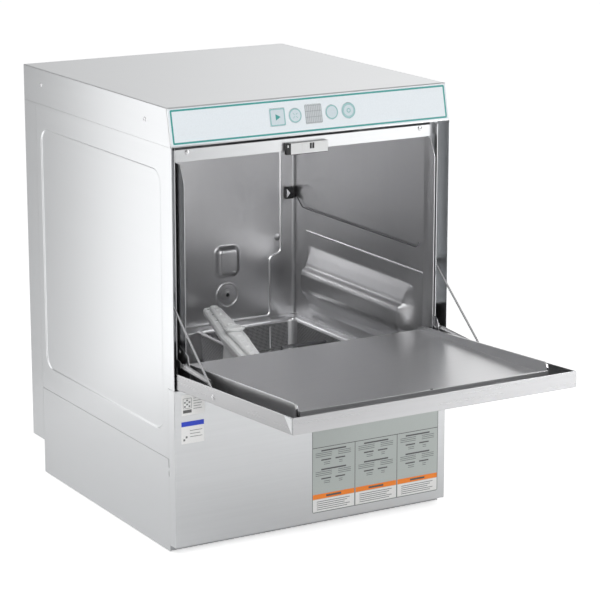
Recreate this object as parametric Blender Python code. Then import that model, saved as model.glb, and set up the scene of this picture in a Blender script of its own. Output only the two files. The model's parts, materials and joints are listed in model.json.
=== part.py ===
"""Undercounter commercial dishwasher, standing with its drop-down door open.

Metres, +Z up, the front faces -Y. The cabinet frame has its origin on the floor, under the middle
of the front face, with +Y running back; the door frame has its origin on the hinge axis.
"""
import math

import bmesh
import bpy
from mathutils import Vector

# ---------------------------------------------------------------- driving dimensions
HALF_WIDTH = 0.302          # cabinet side faces, without the screw heads on the hood
DEPTH = 0.650               # front face to rear cover
HEIGHT = 0.851
SHEET = 0.0012              # stainless sheet thickness
FIT = 0.0003                # gap between pieces that touch

HOOD_BOTTOM = 0.780         # lower edge of the top hood
FASCIA_SETBACK = 0.0155     # how far the fascia leans back at its top
FASCIA_SKIN = 0.0009
PANEL_RETURN = 0.0240       # side return of the front service panel
PANEL_TOP = 0.3225
PANEL_BOTTOM = 0.015
SIDE_SEAM = 0.185           # joint between the lower and upper side panels
SIDE_END = 0.5934           # rear edge of the side panels
REAR_COVER_BOTTOM = 0.070

WALL_X = 0.271              # inner face of the wash chamber's side walls
CHAMBER_BACK = 0.546
CHAMBER_TOP = 0.7905
LIP_FRONT = 0.006           # front edge of the chamber side walls
RIM_Z = 0.2808              # ledge round the wash tank
TANK_FLOOR = 0.205
POST_X = 0.2854             # inner face of the front frame posts

HINGE_Y = 0.008
HINGE_Z = 0.3328
DOOR_TILT = math.radians(3.5)
DOOR_HALF_WIDTH = 0.298
DOOR_REACH = 0.4415         # hinge axis to the door's front edge
DOOR_FLANGE = 0.030
SKIN_DROP = 0.008           # outer skin's face below the hinge axis

ROD_X = 0.293
ROD_BOLT_REACH = 0.155
ROD_BOLT_RISE = 0.013
ROD_LENGTH = 0.232
ROD_ANGLE = math.radians(39.5)
SPRING_X = 0.2839
SPRING_ANCHOR = (0.008, 0.3703)
SPRING_LENGTH = 0.114
SPRING_RADIUS = 0.00575

ARM_CENTRE = (-0.016, 0.292)
ARM_HEADING = math.radians(17)

ORIGIN_SHIFT = -0.10842     # puts the origin under the middle of the open machine

STEEL = ("brushed_steel", (0.62, 0.63, 0.64), 0.32, 1.0)
SATIN = ("chamber_steel", (0.42, 0.42, 0.43), 0.28, 1.0)
BRIGHT = ("bright_wire", (0.75, 0.75, 0.76), 0.18, 1.0)
GALVANISED = ("galvanised_steel", (0.50, 0.51, 0.52), 0.45, 1.0)
FASCIA_FILM = ("fascia_film", (0.74, 0.79, 0.82), 0.35, 0.0)
KEY_FILM = ("key_film", (0.82, 0.86, 0.88), 0.35, 0.0)
DISPLAY = ("display_window", (0.52, 0.55, 0.58), 0.20, 0.0)
LIGHT_PLASTIC = ("light_plastic", (0.72, 0.73, 0.73), 0.50, 0.0)
DARK_PLASTIC = ("dark_plastic", (0.03, 0.03, 0.03), 0.50, 0.0)
PUMP_PLASTIC = ("pump_plastic", (0.09, 0.09, 0.10), 0.50, 0.0)
MOTOR_PAINT = ("motor_paint", (0.20, 0.22, 0.25), 0.50, 0.2)


# ---------------------------------------------------------------- helpers
def clear_scene():
    for item in list(bpy.data.objects):
        bpy.data.objects.remove(item, do_unlink=True)


def material(finish):
    """The Principled material of a finish, made once."""
    name, colour, roughness, metallic = finish
    found = bpy.data.materials.get(name)
    if found:
        return found
    made = bpy.data.materials.new(name)
    made.use_nodes = True
    shader = made.node_tree.nodes["Principled BSDF"]
    shader.inputs["Base Color"].default_value = (*colour, 1.0)
    shader.inputs["Roughness"].default_value = roughness
    shader.inputs["Metallic"].default_value = metallic
    return made


def empty(name, parent, location, rotation=(0, 0, 0)):
    axis = bpy.data.objects.new(name, None)
    bpy.context.scene.collection.objects.link(axis)
    axis.parent = parent
    axis.location = location
    axis.rotation_euler = rotation
    return axis


def add_object(name, bm, finish, parent, round_piece=False):
    """Turn a bmesh into a named object under its parent."""
    mesh = bpy.data.meshes.new(name)
    bm.to_mesh(mesh)
    bm.free()
    if round_piece:
        mesh.shade_smooth()
        mesh.set_sharp_from_angle(angle=math.radians(35))
    mesh.materials.append(material(finish))
    item = bpy.data.objects.new(name, mesh)
    bpy.context.scene.collection.objects.link(item)
    item.parent = parent
    return item


def helper(item):
    """Mark an object as a cutter or an adder, which isn't part of the model."""
    item.hide_render = True
    item.display_type = "WIRE"
    return item


def combine(target, tool, operation):
    """Cut a tool out of a solid, or weld it on."""
    step = target.modifiers.new(operation.lower(), "BOOLEAN")
    step.object = helper(tool)
    step.operation = operation
    step.solver = "EXACT"


def prism_bmesh(outline, axis, low, high):
    """A flat outline extruded along X, Y or Z. The outline holds the two other coordinates."""
    bm = bmesh.new()
    ring = [bm.verts.new(place(point, axis, low)) for point in outline]
    face = bm.faces.new(ring)
    grown = bmesh.ops.extrude_face_region(bm, geom=[face])
    moved = [item for item in grown["geom"] if isinstance(item, bmesh.types.BMVert)]
    shift = Vector(place((0, 0), axis, high - low))
    bmesh.ops.translate(bm, verts=moved, vec=shift)
    bmesh.ops.recalc_face_normals(bm, faces=bm.faces)
    return bm


def place(point, axis, height):
    """A 2D point and a height along an axis, as a 3D point."""
    first, second = point
    if axis == "X":
        return (height, first, second)
    if axis == "Y":
        return (first, height, second)
    return (first, second, height)


def rectangle(low, high):
    return [(low[0], low[1]), (high[0], low[1]), (high[0], high[1]), (low[0], high[1])]


def rounded_rectangle(low, high, radius, steps=4):
    """A rectangle's outline with round corners, going round once."""
    corners = [(high[0] - radius, high[1] - radius, 0), (low[0] + radius, high[1] - radius, 90),
               (low[0] + radius, low[1] + radius, 180), (high[0] - radius, low[1] + radius, 270)]
    outline = []
    for x, y, start in corners:
        for step in range(steps + 1):
            turn = math.radians(start + 90 * step / steps)
            outline.append((x + radius * math.cos(turn), y + radius * math.sin(turn)))
    return outline


def prism(name, outline, axis, low, high, finish, parent):
    return add_object(name, prism_bmesh(outline, axis, low, high), finish, parent)


def box(name, low, high, finish, parent):
    return prism(name, rectangle(low, high), "Z", low[2], high[2], finish, parent)


def turned_bmesh(profile, axis, centre, sides):
    """A solid of revolution from (radius, height) points that start and end on the axis."""
    bm = bmesh.new()
    rings = []
    for radius, height in profile:
        if radius == 0:
            rings.append([bm.verts.new(Vector(centre) + Vector(place((0, 0), axis, height)))])
            continue
        ring = []
        for side in range(sides):
            turn = 2 * math.pi * side / sides
            point = (radius * math.cos(turn), radius * math.sin(turn))
            ring.append(bm.verts.new(Vector(centre) + Vector(place(point, axis, height))))
        rings.append(ring)
    for lower, upper in zip(rings, rings[1:]):
        for side in range(sides):
            after = (side + 1) % sides
            corners = [lower[side % len(lower)], lower[after % len(lower)],
                       upper[after % len(upper)], upper[side % len(upper)]]
            bm.faces.new(list(dict.fromkeys(corners)))
    bmesh.ops.recalc_face_normals(bm, faces=bm.faces)
    return bm


def turned(name, profile, axis, centre, finish, parent, sides=24):
    bm = turned_bmesh(profile, axis, centre, sides)
    return add_object(name, bm, finish, parent, round_piece=True)


def disc(radius, low, high):
    """Profile of a plain round bar."""
    return [(0, low), (radius, low), (radius, high), (0, high)]


def tube_bmesh(points, radius, sides=8):
    """A round wire along a path, with flat ends."""
    path = [Vector(point) for point in points]
    bm = bmesh.new()
    rings = []
    across = None
    for index, here in enumerate(path):
        before = path[max(index - 1, 0)]
        after = path[min(index + 1, len(path) - 1)]
        along = (after - before).normalized()
        if across is None:
            across = along.orthogonal().normalized()
        across = (across - along * across.dot(along)).normalized()
        upward = along.cross(across)
        ring = []
        for side in range(sides):
            turn = 2 * math.pi * side / sides
            ring.append(bm.verts.new(here + radius * (math.cos(turn) * across + math.sin(turn) * upward)))
        rings.append(ring)
    for lower, upper in zip(rings, rings[1:]):
        for side in range(sides):
            after = (side + 1) % sides
            bm.faces.new((lower[side], lower[after], upper[after], upper[side]))
    bm.faces.new(rings[0])
    bm.faces.new(rings[-1])
    bmesh.ops.recalc_face_normals(bm, faces=bm.faces)
    return bm


def arc(centre, radius, start, end, steps, x):
    """Points on an arc in the plane across X, angles in degrees from +Y towards +Z."""
    points = []
    for step in range(steps + 1):
        turn = math.radians(start + (end - start) * step / steps)
        points.append((x, centre[0] + radius * math.cos(turn), centre[1] + radius * math.sin(turn)))
    return points


def sheet(name, faces, grow, finish, parent, thickness=SHEET, fill=None):
    """Folded sheet metal: faces sharing corners, thickened towards grow as seen on the first face."""
    bm = bmesh.new()
    for corners in faces:
        bm.faces.new([bm.verts.new(corner) for corner in corners])
    bmesh.ops.remove_doubles(bm, verts=bm.verts, dist=0.00001)
    if fill:
        fill(bm)
    bm.faces.ensure_lookup_table()
    bmesh.ops.recalc_face_normals(bm, faces=bm.faces)
    bm.normal_update()
    if bm.faces[0].normal.dot(Vector(grow)) < 0:
        bmesh.ops.reverse_faces(bm, faces=bm.faces)
    item = add_object(name, bm, finish, parent)
    wall = item.modifiers.new("sheet thickness", "SOLIDIFY")
    wall.thickness = thickness
    wall.offset = 1.0
    wall.solidify_mode = "NON_MANIFOLD"
    wall.nonmanifold_thickness_mode = "CONSTRAINTS"
    return item


def joined(parts):
    """Several separate solids in one bmesh, for a helper that cuts or adds them all at once."""
    total = bmesh.new()
    for part in parts:
        scratch = bpy.data.meshes.new("scratch")
        part.to_mesh(scratch)
        part.free()
        total.from_mesh(scratch)
        bpy.data.meshes.remove(scratch)
    return total


# ---------------------------------------------------------------- cabinet
SIDES = (("left", -1), ("right", 1))


def make_feet(cabinet):
    pad_radius = 0.020
    profile = [(0, 0), (pad_radius - 0.002, 0), (pad_radius, 0.001), (pad_radius, 0.0026), (0, 0.0026)]
    for side, sign in SIDES:
        for end, depth in (("front", 0.075), ("rear", 0.535)):
            centre = (sign * 0.245, depth, 0)
            turned(f"levelling_foot_{end}_{side}", profile, "Z", centre, DARK_PLASTIC, cabinet)


PORT_Z = 0.045
PORTS = {"inlet_valve": (0.130, 0.0140), "drain_outlet": (-0.130, 0.0170), "cable_gland": (0.215, 0.0105)}


def make_base_frame(cabinet):
    """Chassis tray with a tall rear wall, which the water and power connections come through."""
    low_x, high_x = -0.3004, 0.3004
    front, rear = 0.0250, 0.5930
    floor, rim, back_rim = 0.0030, 0.0430, 0.1990
    faces = [
        [(low_x, front, floor), (high_x, front, floor), (high_x, rear, floor), (low_x, rear, floor)],
        [(low_x, front, floor), (high_x, front, floor), (high_x, front, rim), (low_x, front, rim)],
        [(low_x, front, floor), (low_x, rear, floor), (low_x, rear, rim), (low_x, front, rim)],
        [(high_x, front, floor), (high_x, rear, floor), (high_x, rear, rim), (high_x, front, rim)],
        [(low_x, rear, floor), (high_x, rear, floor), (high_x, rear, rim), (low_x, rear, rim)],
        [(low_x, rear, rim), (high_x, rear, rim), (high_x, rear, back_rim), (low_x, rear, back_rim)],
    ]
    tray = sheet("base_frame", faces, (0, 0, 1), GALVANISED, cabinet, 0.0015)
    holes = [turned_bmesh(disc(radius + FIT, 0.580, 0.600), "Y", (x, 0, PORT_Z), 24)
             for x, radius in PORTS.values()]
    combine(tray, add_object("port_cutters", joined(holes), GALVANISED, cabinet), "DIFFERENCE")


def make_side_panels(cabinet):
    emboss = rounded_rectangle((0.044, 0.233), (0.573, 0.733), 0.030)
    plateau = rounded_rectangle((0.050, 0.239), (0.567, 0.727), 0.024)
    press = 0.0012
    for side, sign in SIDES:
        x = sign * HALF_WIDTH
        inward = (-sign, 0, 0)
        lower = rectangle((PANEL_RETURN + FIT, 0.002), (SIDE_END, SIDE_SEAM - FIT))
        sheet(f"lower_side_panel_{side}", [[place(p, "X", x) for p in lower]], inward, STEEL, cabinet)
        outline = [(0.0, PANEL_TOP + 2 * FIT), (PANEL_RETURN + FIT, PANEL_TOP + 2 * FIT),
                   (PANEL_RETURN + FIT, SIDE_SEAM + FIT), (SIDE_END, SIDE_SEAM + FIT),
                   (SIDE_END, HOOD_BOTTOM - FIT), (0.0, HOOD_BOTTOM - FIT)]
        faces = [[place(p, "X", x - sign * press) for p in plateau]]
        count = len(emboss)
        for index in range(count):
            after = (index + 1) % count
            faces.append([place(plateau[index], "X", x - sign * press),
                          place(plateau[after], "X", x - sign * press),
                          place(emboss[after], "X", x), place(emboss[index], "X", x)])

        def surround(bm, outline=outline, x=x):
            """Fill between the pressed panel and the outer edge."""
            inner = [edge for edge in bm.edges if edge.is_boundary]
            ring = [bm.verts.new(place(point, "X", x)) for point in outline]
            outer = [bm.edges.new((a, b)) for a, b in zip(ring, ring[1:] + ring[:1])]
            bmesh.ops.triangle_fill(bm, edges=inner + outer, use_beauty=True)

        sheet(f"upper_side_panel_{side}", faces, inward, STEEL, cabinet, fill=surround)


def make_front_service_panel(cabinet):
    x = HALF_WIDTH
    low, top = PANEL_BOTTOM, PANEL_TOP
    shelf = 0.016
    faces = [[(-x, 0, low), (x, 0, low), (x, 0, top), (-x, 0, top)]]
    for edge in (-x, x):
        faces.append([(edge, 0, low), (edge, 0, top), (edge, PANEL_RETURN, top), (edge, PANEL_RETURN, low)])
    inset = 0.006
    for z in (low, top):
        faces.append([(-x, 0, z), (x, 0, z), (x - inset, shelf, z), (-x + inset, shelf, z)])
    sheet("front_service_panel", faces, (0, 1, 0), STEEL, cabinet)


def make_rear_cover(cabinet):
    x, front, back = HALF_WIDTH, SIDE_END + FIT, DEPTH
    low, top = REAR_COVER_BOTTOM, HOOD_BOTTOM - FIT
    faces = [[(-x, back, low), (x, back, low), (x, back, top), (-x, back, top)],
             [(-x, front, low), (x, front, low), (x, back, low), (-x, back, low)]]
    for edge in (-x, x):
        faces.append([(edge, front, low), (edge, back, low), (edge, back, top), (edge, front, top)])
    sheet("rear_cover", faces, (0, -1, 0), STEEL, cabinet)


def make_hood(cabinet, fascia_plane):
    """Top cover with skirts, its front leaning back, cut open behind the controls."""
    x, back, low, top = HALF_WIDTH, DEPTH, HOOD_BOTTOM, HEIGHT
    step = 0.0012
    front_low, front_top = step, FASCIA_SETBACK + step
    faces = [
        [(-x, front_top, top), (x, front_top, top), (x, back, top), (-x, back, top)],
        [(-x, front_low, low), (x, front_low, low), (x, front_top, top), (-x, front_top, top)],
        [(-x, back, low), (x, back, low), (x, back, top), (-x, back, top)],
    ]
    for edge in (-x, x):
        faces.append([(edge, front_low, low), (edge, front_top, top), (edge, back, top), (edge, back, low)])
    hood = sheet("top_hood", faces, (0, 0, -1), STEEL, cabinet)
    window = prism_bmesh(rectangle((-0.100, -0.020), (0.100, 0.022)), "Y", -0.004, 0.006)
    combine(hood, add_object("control_window_cutter", window, STEEL, fascia_plane), "DIFFERENCE")
    heads = []
    for sign in (-1, 1):
        for y, z in ((0.565, 0.8195), (0.104, 0.818)):
            reach = sorted((sign * (x - 0.0006), sign * (x + 0.0012)))
            heads.append(turned_bmesh(disc(0.0042, *reach), "X", (0, y, z), 12))
    combine(hood, add_object("hood_screw_heads", joined(heads), STEEL, cabinet), "UNION")


# ---------------------------------------------------------------- controls
KEYS = {"start_key": (-0.0759, 0.0165, "square"), "cycle_key": (-0.0380, 0.0138, "round"),
        "menu_key": (0.0412, 0.0138, "round"), "power_key": (0.0779, 0.0151, "round")}
DISPLAY_X = 0.0018
DISPLAY_HALF = 0.0178
KEY_ROW_Z = 0.0010
KEY_PROUD = 0.0009
KEY_DEPTH = 0.0040


def key_outline(half, shape):
    if shape == "square":
        return rounded_rectangle((-half, -half), (half, half), 0.0018, 3)
    return rounded_rectangle((-half, -half), (half, half), half - 0.00001, 8)


def shifted(outline, x, z):
    return [(x + first, z + second) for first, second in outline]


def make_controls(cabinet, fascia_plane):
    half_slope = 0.0340
    film = prism("control_fascia", rectangle((-0.3005, -half_slope), (0.3005, half_slope)), "Y",
                 0.0, FASCIA_SKIN, FASCIA_FILM, fascia_plane)
    clearance = 0.0003
    openings = []
    for x, half, shape in list(KEYS.values()) + [(DISPLAY_X, DISPLAY_HALF, "square")]:
        ring = shifted(key_outline(half + clearance, shape), x, KEY_ROW_Z)
        openings.append(prism_bmesh(ring, "Y", -0.002, 0.003))
    combine(film, add_object("key_cutters", joined(openings), FASCIA_FILM, fascia_plane), "DIFFERENCE")
    for name, (x, half, shape) in KEYS.items():
        slide = empty(f"{name}_slide", fascia_plane, (x, 0, KEY_ROW_Z))
        prism(name, key_outline(half, shape), "Y", -KEY_PROUD, KEY_DEPTH, KEY_FILM, slide)
    ring = shifted(key_outline(DISPLAY_HALF, "square"), DISPLAY_X, KEY_ROW_Z)
    prism("display_window", ring, "Y", -0.0002, KEY_DEPTH, DISPLAY, fascia_plane)
    box("control_box", (-0.120, 0.030, 0.7960), (0.120, 0.110, 0.8440), DARK_PLASTIC, cabinet)


# ---------------------------------------------------------------- door frame and header
HEADER_FACE = 0.0306
HEADER_BOTTOM = 0.746


def make_header(cabinet):
    x, face, low, top = 0.278, HEADER_FACE, HEADER_BOTTOM, HOOD_BOTTOM - 0.001
    faces = [[(-x, face, low), (x, face, low), (x, face, top), (-x, face, top)],
             [(-x, face, low), (x, face, low), (x, face + 0.014, low), (-x, face + 0.014, low)]]
    bar = sheet("header_bar", faces, (0, 1, 0), STEEL, cabinet)
    heads = [turned_bmesh(disc(0.0042, face - 0.0012, face + 0.0006), "Y", (side, 0, 0.7635), 12)
             for side in (-0.2535, 0.2535)]
    combine(bar, add_object("header_screw_heads", joined(heads), STEEL, cabinet), "UNION")
    plate_top, plate_low = 0.7612, 0.7400
    plate = rectangle((-0.0385, plate_low), (0.0420, plate_top))
    catch = prism("latch_plate", plate, "Y", 0.0225, HEADER_FACE - FIT, LIGHT_PLASTIC, cabinet)
    slots = [prism_bmesh(rectangle((side, 0.7490), (side + 0.0030, 0.7590)), "Y", 0.020, 0.026)
             for side in (0.0030, 0.0095)]
    combine(catch, add_object("latch_slot_cutters", joined(slots), LIGHT_PLASTIC, cabinet), "DIFFERENCE")
    switch = rectangle((-0.0480, plate_low), (-0.0388, plate_top))
    prism("door_switch", switch, "Y", 0.0215, HEADER_FACE - FIT, DARK_PLASTIC, cabinet)


def make_frame_posts(cabinet):
    """Front uprights beside the rod slots, each with the door's hinge eye and the spring's stud."""
    front, rear, top = 0.0175, 0.040, HOOD_BOTTOM - 0.001
    web_bottom, foot = 0.407, 0.300
    notch_y, notch_z = 0.0316, 0.7715     # clears the closed door's top flange
    eye = 0.0062
    for side, sign in SIDES:
        x = sign * POST_X
        nose = [(HINGE_Y - eye * math.sin(math.radians(turn)), HINGE_Z - eye * math.cos(math.radians(turn)))
                for turn in range(0, 181, 30)]
        tab_z = SPRING_ANCHOR[1]
        outline = [(front, foot), (front, HINGE_Z - eye)] + nose + [
            (front, HINGE_Z + eye), (front, tab_z - 0.007), (0.0035, tab_z - 0.006),
            (0.0035, tab_z + 0.006), (front, tab_z + 0.009), (front, notch_z), (notch_y, notch_z),
            (notch_y, top), (rear, top), (rear, web_bottom), (rear, foot)]
        web_x = sign * (HALF_WIDTH - SHEET - 0.0004)
        faces = [[place(point, "X", x) for point in outline],
                 [(x, rear, web_bottom), (x, rear, top), (web_x, rear, top), (web_x, rear, web_bottom)]]
        post = sheet(f"frame_post_{side}", faces, (sign, 0, 0), STEEL, cabinet, 0.0015)
        edges = sorted((sign * 0.2785, x + sign * 0.0006))
        flange = prism_bmesh(rectangle((edges[0], rear - 0.0015), (edges[1], rear)), "Z", web_bottom, top)
        combine(post, add_object(f"post_flange_{side}", flange, STEEL, cabinet), "UNION")
        reach = sorted((x - sign * 0.0034, x + sign * 0.0006))
        stud = turned_bmesh(disc(0.0018, *reach), "X", (0, *SPRING_ANCHOR), 12)
        combine(post, add_object(f"spring_stud_{side}", stud, STEEL, cabinet), "UNION")
        bore = turned_bmesh(disc(0.0033, -0.004, 0.004), "X", (x, HINGE_Y, HINGE_Z), 16)
        combine(post, add_object(f"hinge_bore_{side}", bore, STEEL, cabinet), "DIFFERENCE")
        inner, shoulder, outer = 0.2742, 0.2872, 0.2886
        profile = [(0, sign * inner), (0.0030, sign * inner), (0.0030, sign * shoulder),
                   (0.0048, sign * shoulder), (0.0048, sign * outer), (0, sign * outer)]
        turned(f"hinge_pin_{side}", profile, "X", (0, HINGE_Y, HINGE_Z), BRIGHT, cabinet, 16)


# ---------------------------------------------------------------- wash chamber
RAIL_PROFILE = ((0.262, 0.0), (0.305, 0.0), (0.320, 0.006), (0.340, 0.021), (0.349, 0.0265),
                (0.358, 0.028), (0.386, 0.028), (0.394, 0.025), (0.401, 0.0155), (0.408, 0.0135),
                (0.426, 0.0065), (0.441, 0.0), (0.600, 0.0))


def front_edge(z):
    """Front edge of a chamber side wall at a height: set back low down, and sloping near the header."""
    if z < 0.327:
        return 0.026
    if z > 0.710:
        return LIP_FRONT + (z - 0.710) * 0.47
    return LIP_FRONT


def rail_share(y):
    """How much of the rack rail's profile stands out at a depth: it fades in at both ends."""
    front = min(max((y - 0.058) / 0.038, 0), 1)
    rear = min(max((0.492 - y) / 0.024, 0), 1)
    share = front * rear
    return share * share * (3 - 2 * share)


def make_chamber_walls(cabinet):
    heights = [z for z, _ in RAIL_PROFILE]
    rises = dict(RAIL_PROFILE)
    header_z = 0.7455
    heights += [0.3265, 0.3275, 0.710, 0.744, header_z, CHAMBER_TOP]
    heights.sort()
    depths = (None, 0.036, 0.040, 0.046, 0.058, 0.072, 0.096, 0.468, 0.480, 0.492, CHAMBER_BACK - FIT)
    behind_header = depths[3:]
    joggle = 0.0015
    for side, sign in SIDES:
        def corner(y, z, sign=sign):
            rise = rises.get(z)
            if rise is None:
                rise = 0.010 if 0.32 < z < 0.33 else 0.0
            depth = rise * rail_share(y)
            flare = joggle if y < 0.0365 else 0.0
            return (sign * (WALL_X + flare - depth), y, z)

        faces = []
        for low, high in zip(heights, heights[1:]):
            stations = behind_header if low >= header_z else depths
            for near, far in zip(stations, stations[1:]):
                ends = [(near if near else front_edge(low), low), (far, low),
                        (far, high), (near if near else front_edge(high), high)]
                faces.append([corner(y, z) for y, z in ends])
        sheet(f"chamber_wall_{side}", faces, (sign, 0, 0), SATIN, cabinet)


def make_chamber_back(cabinet):
    face, x = CHAMBER_BACK, WALL_X - FIT
    wall = prism("chamber_back_wall", rectangle((-x, 0.262), (x, CHAMBER_TOP)), "Y",
                 face, face + SHEET, SATIN, cabinet)
    foot = rounded_rectangle((0.078, 0.378), (0.140, 0.448), 0.016)
    crown = rounded_rectangle((0.086, 0.386), (0.132, 0.440), 0.012)
    rise = 0.0120
    bm = bmesh.new()
    rings = []
    for outline, y in ((foot, face + SHEET / 2), (foot, face), (crown, face - rise)):
        rings.append([bm.verts.new(place(point, "Y", y)) for point in outline])
    for lower, upper in zip(rings, rings[1:]):
        for index in range(len(foot)):
            after = (index + 1) % len(foot)
            bm.faces.new((lower[index], lower[after], upper[after], upper[index]))
    bm.faces.new(rings[0])
    bm.faces.new(rings[-1])
    bmesh.ops.recalc_face_normals(bm, faces=bm.faces)
    port = [(0, face + SHEET / 2), (0.027, face + SHEET / 2), (0.027, face - 0.002),
            (0.023, face - 0.005), (0.013, face - 0.005), (0.011, face - 0.007), (0, face - 0.007)]
    port_bm = turned_bmesh(port, "Y", (0.1075, 0, 0.341), 24)
    combine(wall, add_object("back_wall_pressings", joined([bm, port_bm]), SATIN, cabinet), "UNION")
    hole = turned_bmesh(disc(0.003, face - 0.010, face + 0.004), "Y", (0.1075, 0, 0.341), 12)
    combine(wall, add_object("port_bore", hole, SATIN, cabinet), "DIFFERENCE")


def make_chamber_shell(cabinet):
    x = WALL_X - FIT
    ceiling = rectangle((-x, 0.046), (x, CHAMBER_BACK - FIT))
    prism("chamber_ceiling", ceiling, "Z", CHAMBER_TOP - SHEET, CHAMBER_TOP, SATIN, cabinet)
    sill = rectangle((-x, 0.262), (x, 0.352))
    prism("tank_sill", sill, "Y", 0.054, 0.054 + SHEET, SATIN, cabinet)


def basin(outer, opening, floor, floor_z, rim_z):
    """Faces of an open basin: a flat rim, sloping walls and a floor, each from (low, high) corners."""
    rings = []
    for (low, high), z in ((outer, rim_z), (opening, rim_z), (floor, floor_z)):
        rings.append([(px, py, z) for px, py in rectangle(low, high)])
    faces = []
    for upper, lower in zip(rings, rings[1:]):
        for index in range(4):
            after = (index + 1) % 4
            faces.append([upper[index], upper[after], lower[after], lower[index]])
    faces.append(rings[2])
    return faces


def make_tank(cabinet):
    x = WALL_X - FIT
    faces = basin(((-x, 0.0555), (x, CHAMBER_BACK - FIT)), ((-0.246, 0.085), (0.246, 0.502)),
                  ((-0.243, 0.090), (0.2455, 0.5015)), TANK_FLOOR, RIM_Z)
    sheet("wash_tank", faces, (0, 0, -1), SATIN, cabinet)
    basket_rim = RIM_Z + 0.0015
    faces = basin(((0.009, 0.088), (0.252, 0.508)), ((0.017, 0.096), (0.2434, 0.4994)),
                  ((0.019, 0.098), (0.2424, 0.4984)), 0.222, basket_rim)
    basket = sheet("filter_basket", faces, (0, 0, -1), SATIN, cabinet, 0.0010)
    bar_y, bar_z, leg = 0.332, 0.275, 0.2215
    bend = 0.006
    route = [(0.118, bar_y, leg), (0.118, bar_y, bar_z - bend), (0.1198, bar_y, bar_z - 0.0018),
             (0.124, bar_y, bar_z), (0.216, bar_y, bar_z), (0.2202, bar_y, bar_z - 0.0018),
             (0.222, bar_y, bar_z - bend), (0.222, bar_y, leg)]
    handle = add_object("basket_handle", tube_bmesh(route, 0.0024), BRIGHT, cabinet)
    combine(basket, handle, "UNION")


# ---------------------------------------------------------------- spray arms
SPINDLE = 0.0070
BORE = 0.0076


def arm_outline(half_length, tip, middle):
    """Plan of a spray arm: widest at the hub, tapering to rounded tips."""
    corner = min(0.010, 0.7 * tip)
    quarter = [(middle, 0.0), (middle, 0.026), (tip, half_length - corner),
               (tip - 0.3 * corner, half_length - 0.3 * corner), (tip - corner, half_length)]
    right = [(x, -y) for x, y in reversed(quarter[1:])] + quarter
    return right + [(-x, -y) for x, y in right]


def make_spray_arms(cabinet):
    hub_x, hub_y = ARM_CENTRE
    column = [(0, 0.2065), (0.036, 0.2065), (0.036, 0.212), (0.026, 0.222), (0.021, 0.300),
              (0.021, 0.3145), (SPINDLE, 0.3145), (SPINDLE, 0.3388), (0, 0.3388)]
    turned("lower_manifold", column, "Z", (hub_x, hub_y, 0), LIGHT_PLASTIC, cabinet)
    duct = rectangle((hub_x - 0.028, 0.240), (hub_x + 0.028, CHAMBER_BACK - 2 * FIT))
    ceiling = CHAMBER_TOP - SHEET - FIT
    manifold = prism("upper_manifold", duct, "Z", 0.772, ceiling, LIGHT_PLASTIC, cabinet)
    stem = [(0, 0.7376), (SPINDLE, 0.7376), (SPINDLE, 0.7626), (0.021, 0.7626), (0.021, 0.775), (0, 0.775)]
    spindle = turned_bmesh(stem, "Z", (hub_x, hub_y, 0), 24)
    combine(manifold, add_object("upper_spindle", spindle, LIGHT_PLASTIC, cabinet), "UNION")
    cap = [(0, 0), (0.020, 0), (0.021, 0.001), (0.021, 0.0045), (0.017, 0.0070), (0, 0.0070)]
    turned("lower_spindle_cap", cap, "Z", (hub_x, hub_y, 0.3391), LIGHT_PLASTIC, cabinet)
    flipped = [(radius, -height) for radius, height in cap]
    turned("upper_spindle_cap", flipped, "Z", (hub_x, hub_y, 0.7373), LIGHT_PLASTIC, cabinet)
    levels = {"lower_wash_arm": (0.3152, 0.3292, 0.232, 0.020, 0.027),
              "lower_rinse_arm": (0.3302, 0.3382, 0.212, 0.009, 0.015),
              "upper_wash_arm": (0.7478, 0.7618, 0.232, 0.020, 0.027),
              "upper_rinse_arm": (0.7382, 0.7462, 0.212, 0.009, 0.015)}
    for name, (low, high, half_length, tip, middle) in levels.items():
        axle = empty(f"{name}_axle", cabinet, (hub_x, hub_y, 0), (0, 0, -ARM_HEADING))
        arm = prism(name, arm_outline(half_length, tip, middle), "Z", low, high, LIGHT_PLASTIC, axle)
        bore = turned_bmesh(disc(BORE, low - 0.002, high + 0.002), "Z", (0, 0, 0), 24)
        combine(arm, add_object(f"{name}_bore", bore, LIGHT_PLASTIC, axle), "DIFFERENCE")


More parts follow.
